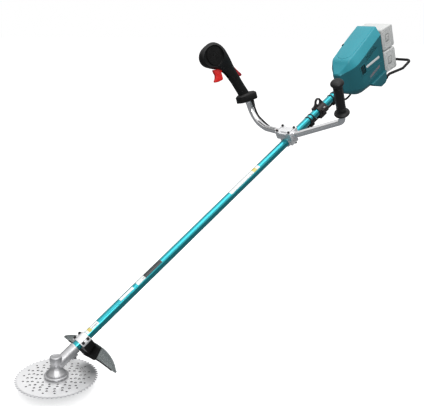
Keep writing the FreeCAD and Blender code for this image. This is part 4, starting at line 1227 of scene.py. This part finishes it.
def blade_marks():
    """Dark rims round the blade's lightening holes, on both faces: painted shade at the hole edges."""
    rims = []
    for count, radius, hole_r, first in BLADE_HOLES:
        for i in range(count):
            angle = first + 2 * math.pi * i / count
            spot = Matrix.Translation((radius * math.cos(angle), radius * math.sin(angle), -BLADE_DROP))
            proud = BLADE_THICK / 2 + 0.06
            inner, outer = hole_r - 0.05, hole_r + 0.75
            ring = [(inner, -proud), (outer, -proud), (outer, proud), (inner, proud), (inner, -proud)]
            rims.append(moved(lathe(ring, 14, capped=False), spot))
    # painted shade: black rings stand in for the shade at the edges of the holes
    piece("blade_hole_painted_shade_rims", joined(rims), BLADE, "cutter", "bolt_black", sharp=40)


# ---- guard ----
def guard_line(share):
    """Lower and upper edge of the shield, as (y, z), at a share of its half span."""
    low = Vector((97 + 9 * math.sin(math.radians(90 * min(1.0, 2 * share))), 4 - 6 * share))
    high = Vector((112 + 60 * share * (1 - share) - 8 * share * share, 42 - 32 * share ** 1.1))
    return low, high


def guard_shield():
    """Smoky shield with a thick rolled lower rim, a small upper bead and rounded ends."""
    thick = 3.0
    rings = []
    steps = 40
    for i in range(-steps, steps + 1):
        share = abs(i) / steps
        low, high = guard_line(share)
        if share > GUARD_STRAIGHT:
            past = (share - GUARD_STRAIGHT) / (1 - GUARD_STRAIGHT)
            rounding = math.sqrt(max(0.0, 1 - past ** 2))
            middle = (low + high) / 2
            low = middle + (low - middle) * (0.25 + 0.75 * rounding)
            high = middle + (high - middle) * (0.25 + 0.75 * rounding)
        up = (high - low).normalized()
        out = Vector((up.y, -up.x))
        tall = (high - low).length
        # (foot, distance up from it, distance out) round the rolled rim and the upper bead
        profile = [(low, min(run, tall * 0.4), lift) for run, lift in
                   ((0.0, 0.4), (0.0, 1.6), (0.8, 2.4), (3.2, 2.2), (4.4, thick / 2 - 0.2))]
        profile += [(high, -min(2.6, tall * 0.2), 1.3), (high, -1.6, 1.9), (high, 0.0, 1.2)]
        front, back = ([foot + up * run + out * face * lift for foot, run, lift in profile]
                       for face in (1, -1))
        x = GUARD_SPAN * i / steps
        rings.append([(x, p.x + thick / 2, p.y) for p in front + back[::-1]])
    piece("guard_shield_sheet", loft(rings), BLADE, "machine", "smoke_shield", "guard_shield", sharp=50)
    reach = int(0.84 * steps)
    line = []
    for i in range(-reach, reach + 1):
        low = guard_line(abs(i) / steps)[0]
        line.append(Vector((GUARD_SPAN * i / steps, low.x + thick / 2, low.y + 0.4)))
    piece("guard_shield_rim", swept(line, 2.6, 16), BLADE, "machine", "black_plastic", sharp=60)


# ---- labels on the pipe ----
LABEL_ANGLE = 72               # degrees round from the operator's left, so short of the top


def pipe_label(name, start, end, half_angle, slot):
    """A thin printed foil on the pipe, a little to the left of its top."""
    steps = 14
    first = LABEL_ANGLE - half_angle
    arc = [math.radians(first + 2 * half_angle * k / steps) for k in range(steps + 1)]
    rings = []
    for y in (start, start + 1, end - 1, end):
        outer = [((PIPE_R + 0.16) * math.cos(a), y, (PIPE_R + 0.16) * math.sin(a)) for a in arc]
        inner = [((PIPE_R - 0.3) * math.cos(a), y, (PIPE_R - 0.3) * math.sin(a)) for a in reversed(arc)]
        rings.append(outer + inner)
    piece(name, loft(rings), PIPE, "machine", slot, sharp=40)


def pipe_labels():
    for slot, (name, start, end, half_angle, _, _) in PIPE_LABELS.items():
        pipe_label(name, start, end, half_angle, slot)


# ---- CAD pieces kept as they are, with softened edges ----
def soften(width, *names):
    """Round the edges of CAD nodes with modifiers; their meshes stay as packed."""
    for name in names:
        thing = frame["nodes"][name]
        modify(thing, "WELD", merge_threshold=0.00001)
        bevel(thing, width, 3, 38)


def inner_shade():
    """Black plates inside the housing walls, seen through the louvres and the intake: painted shade for the dark
    inside.
    """
    for side, name in ((1, "left"), (-1, "right")):
        x = side * 44.0
        panel = prism([(x, 1440, -20), (x, 1574, -20), (x, 1588, 70), (x, 1446, 60)], (side * 2.0, 0, 0))
        piece("housing_painted_shade_" + name, panel, PIPE, "machine", "black_plastic", soft=(0.5, 2))


housing()
inner_shade()
batteries()
right_handle()
trigger_and_lever()
left_grip()
handlebar()
guard_rod()
control_cable()
gear_case()
blade_marks()
guard_shield()
pipe_labels()
soften(0.8, "guard_bracket", "guard_clamp", "bar_clamp_saddle", "bar_clamp_lower", "bar_clamp_cap",
       "harness_hanger", "hanger_lower_half", "cable_clips")
soften(0.3, "guard_bolts", "bar_clamp_bolts", "hanger_screws", "blade_nut", "clamp_washer")
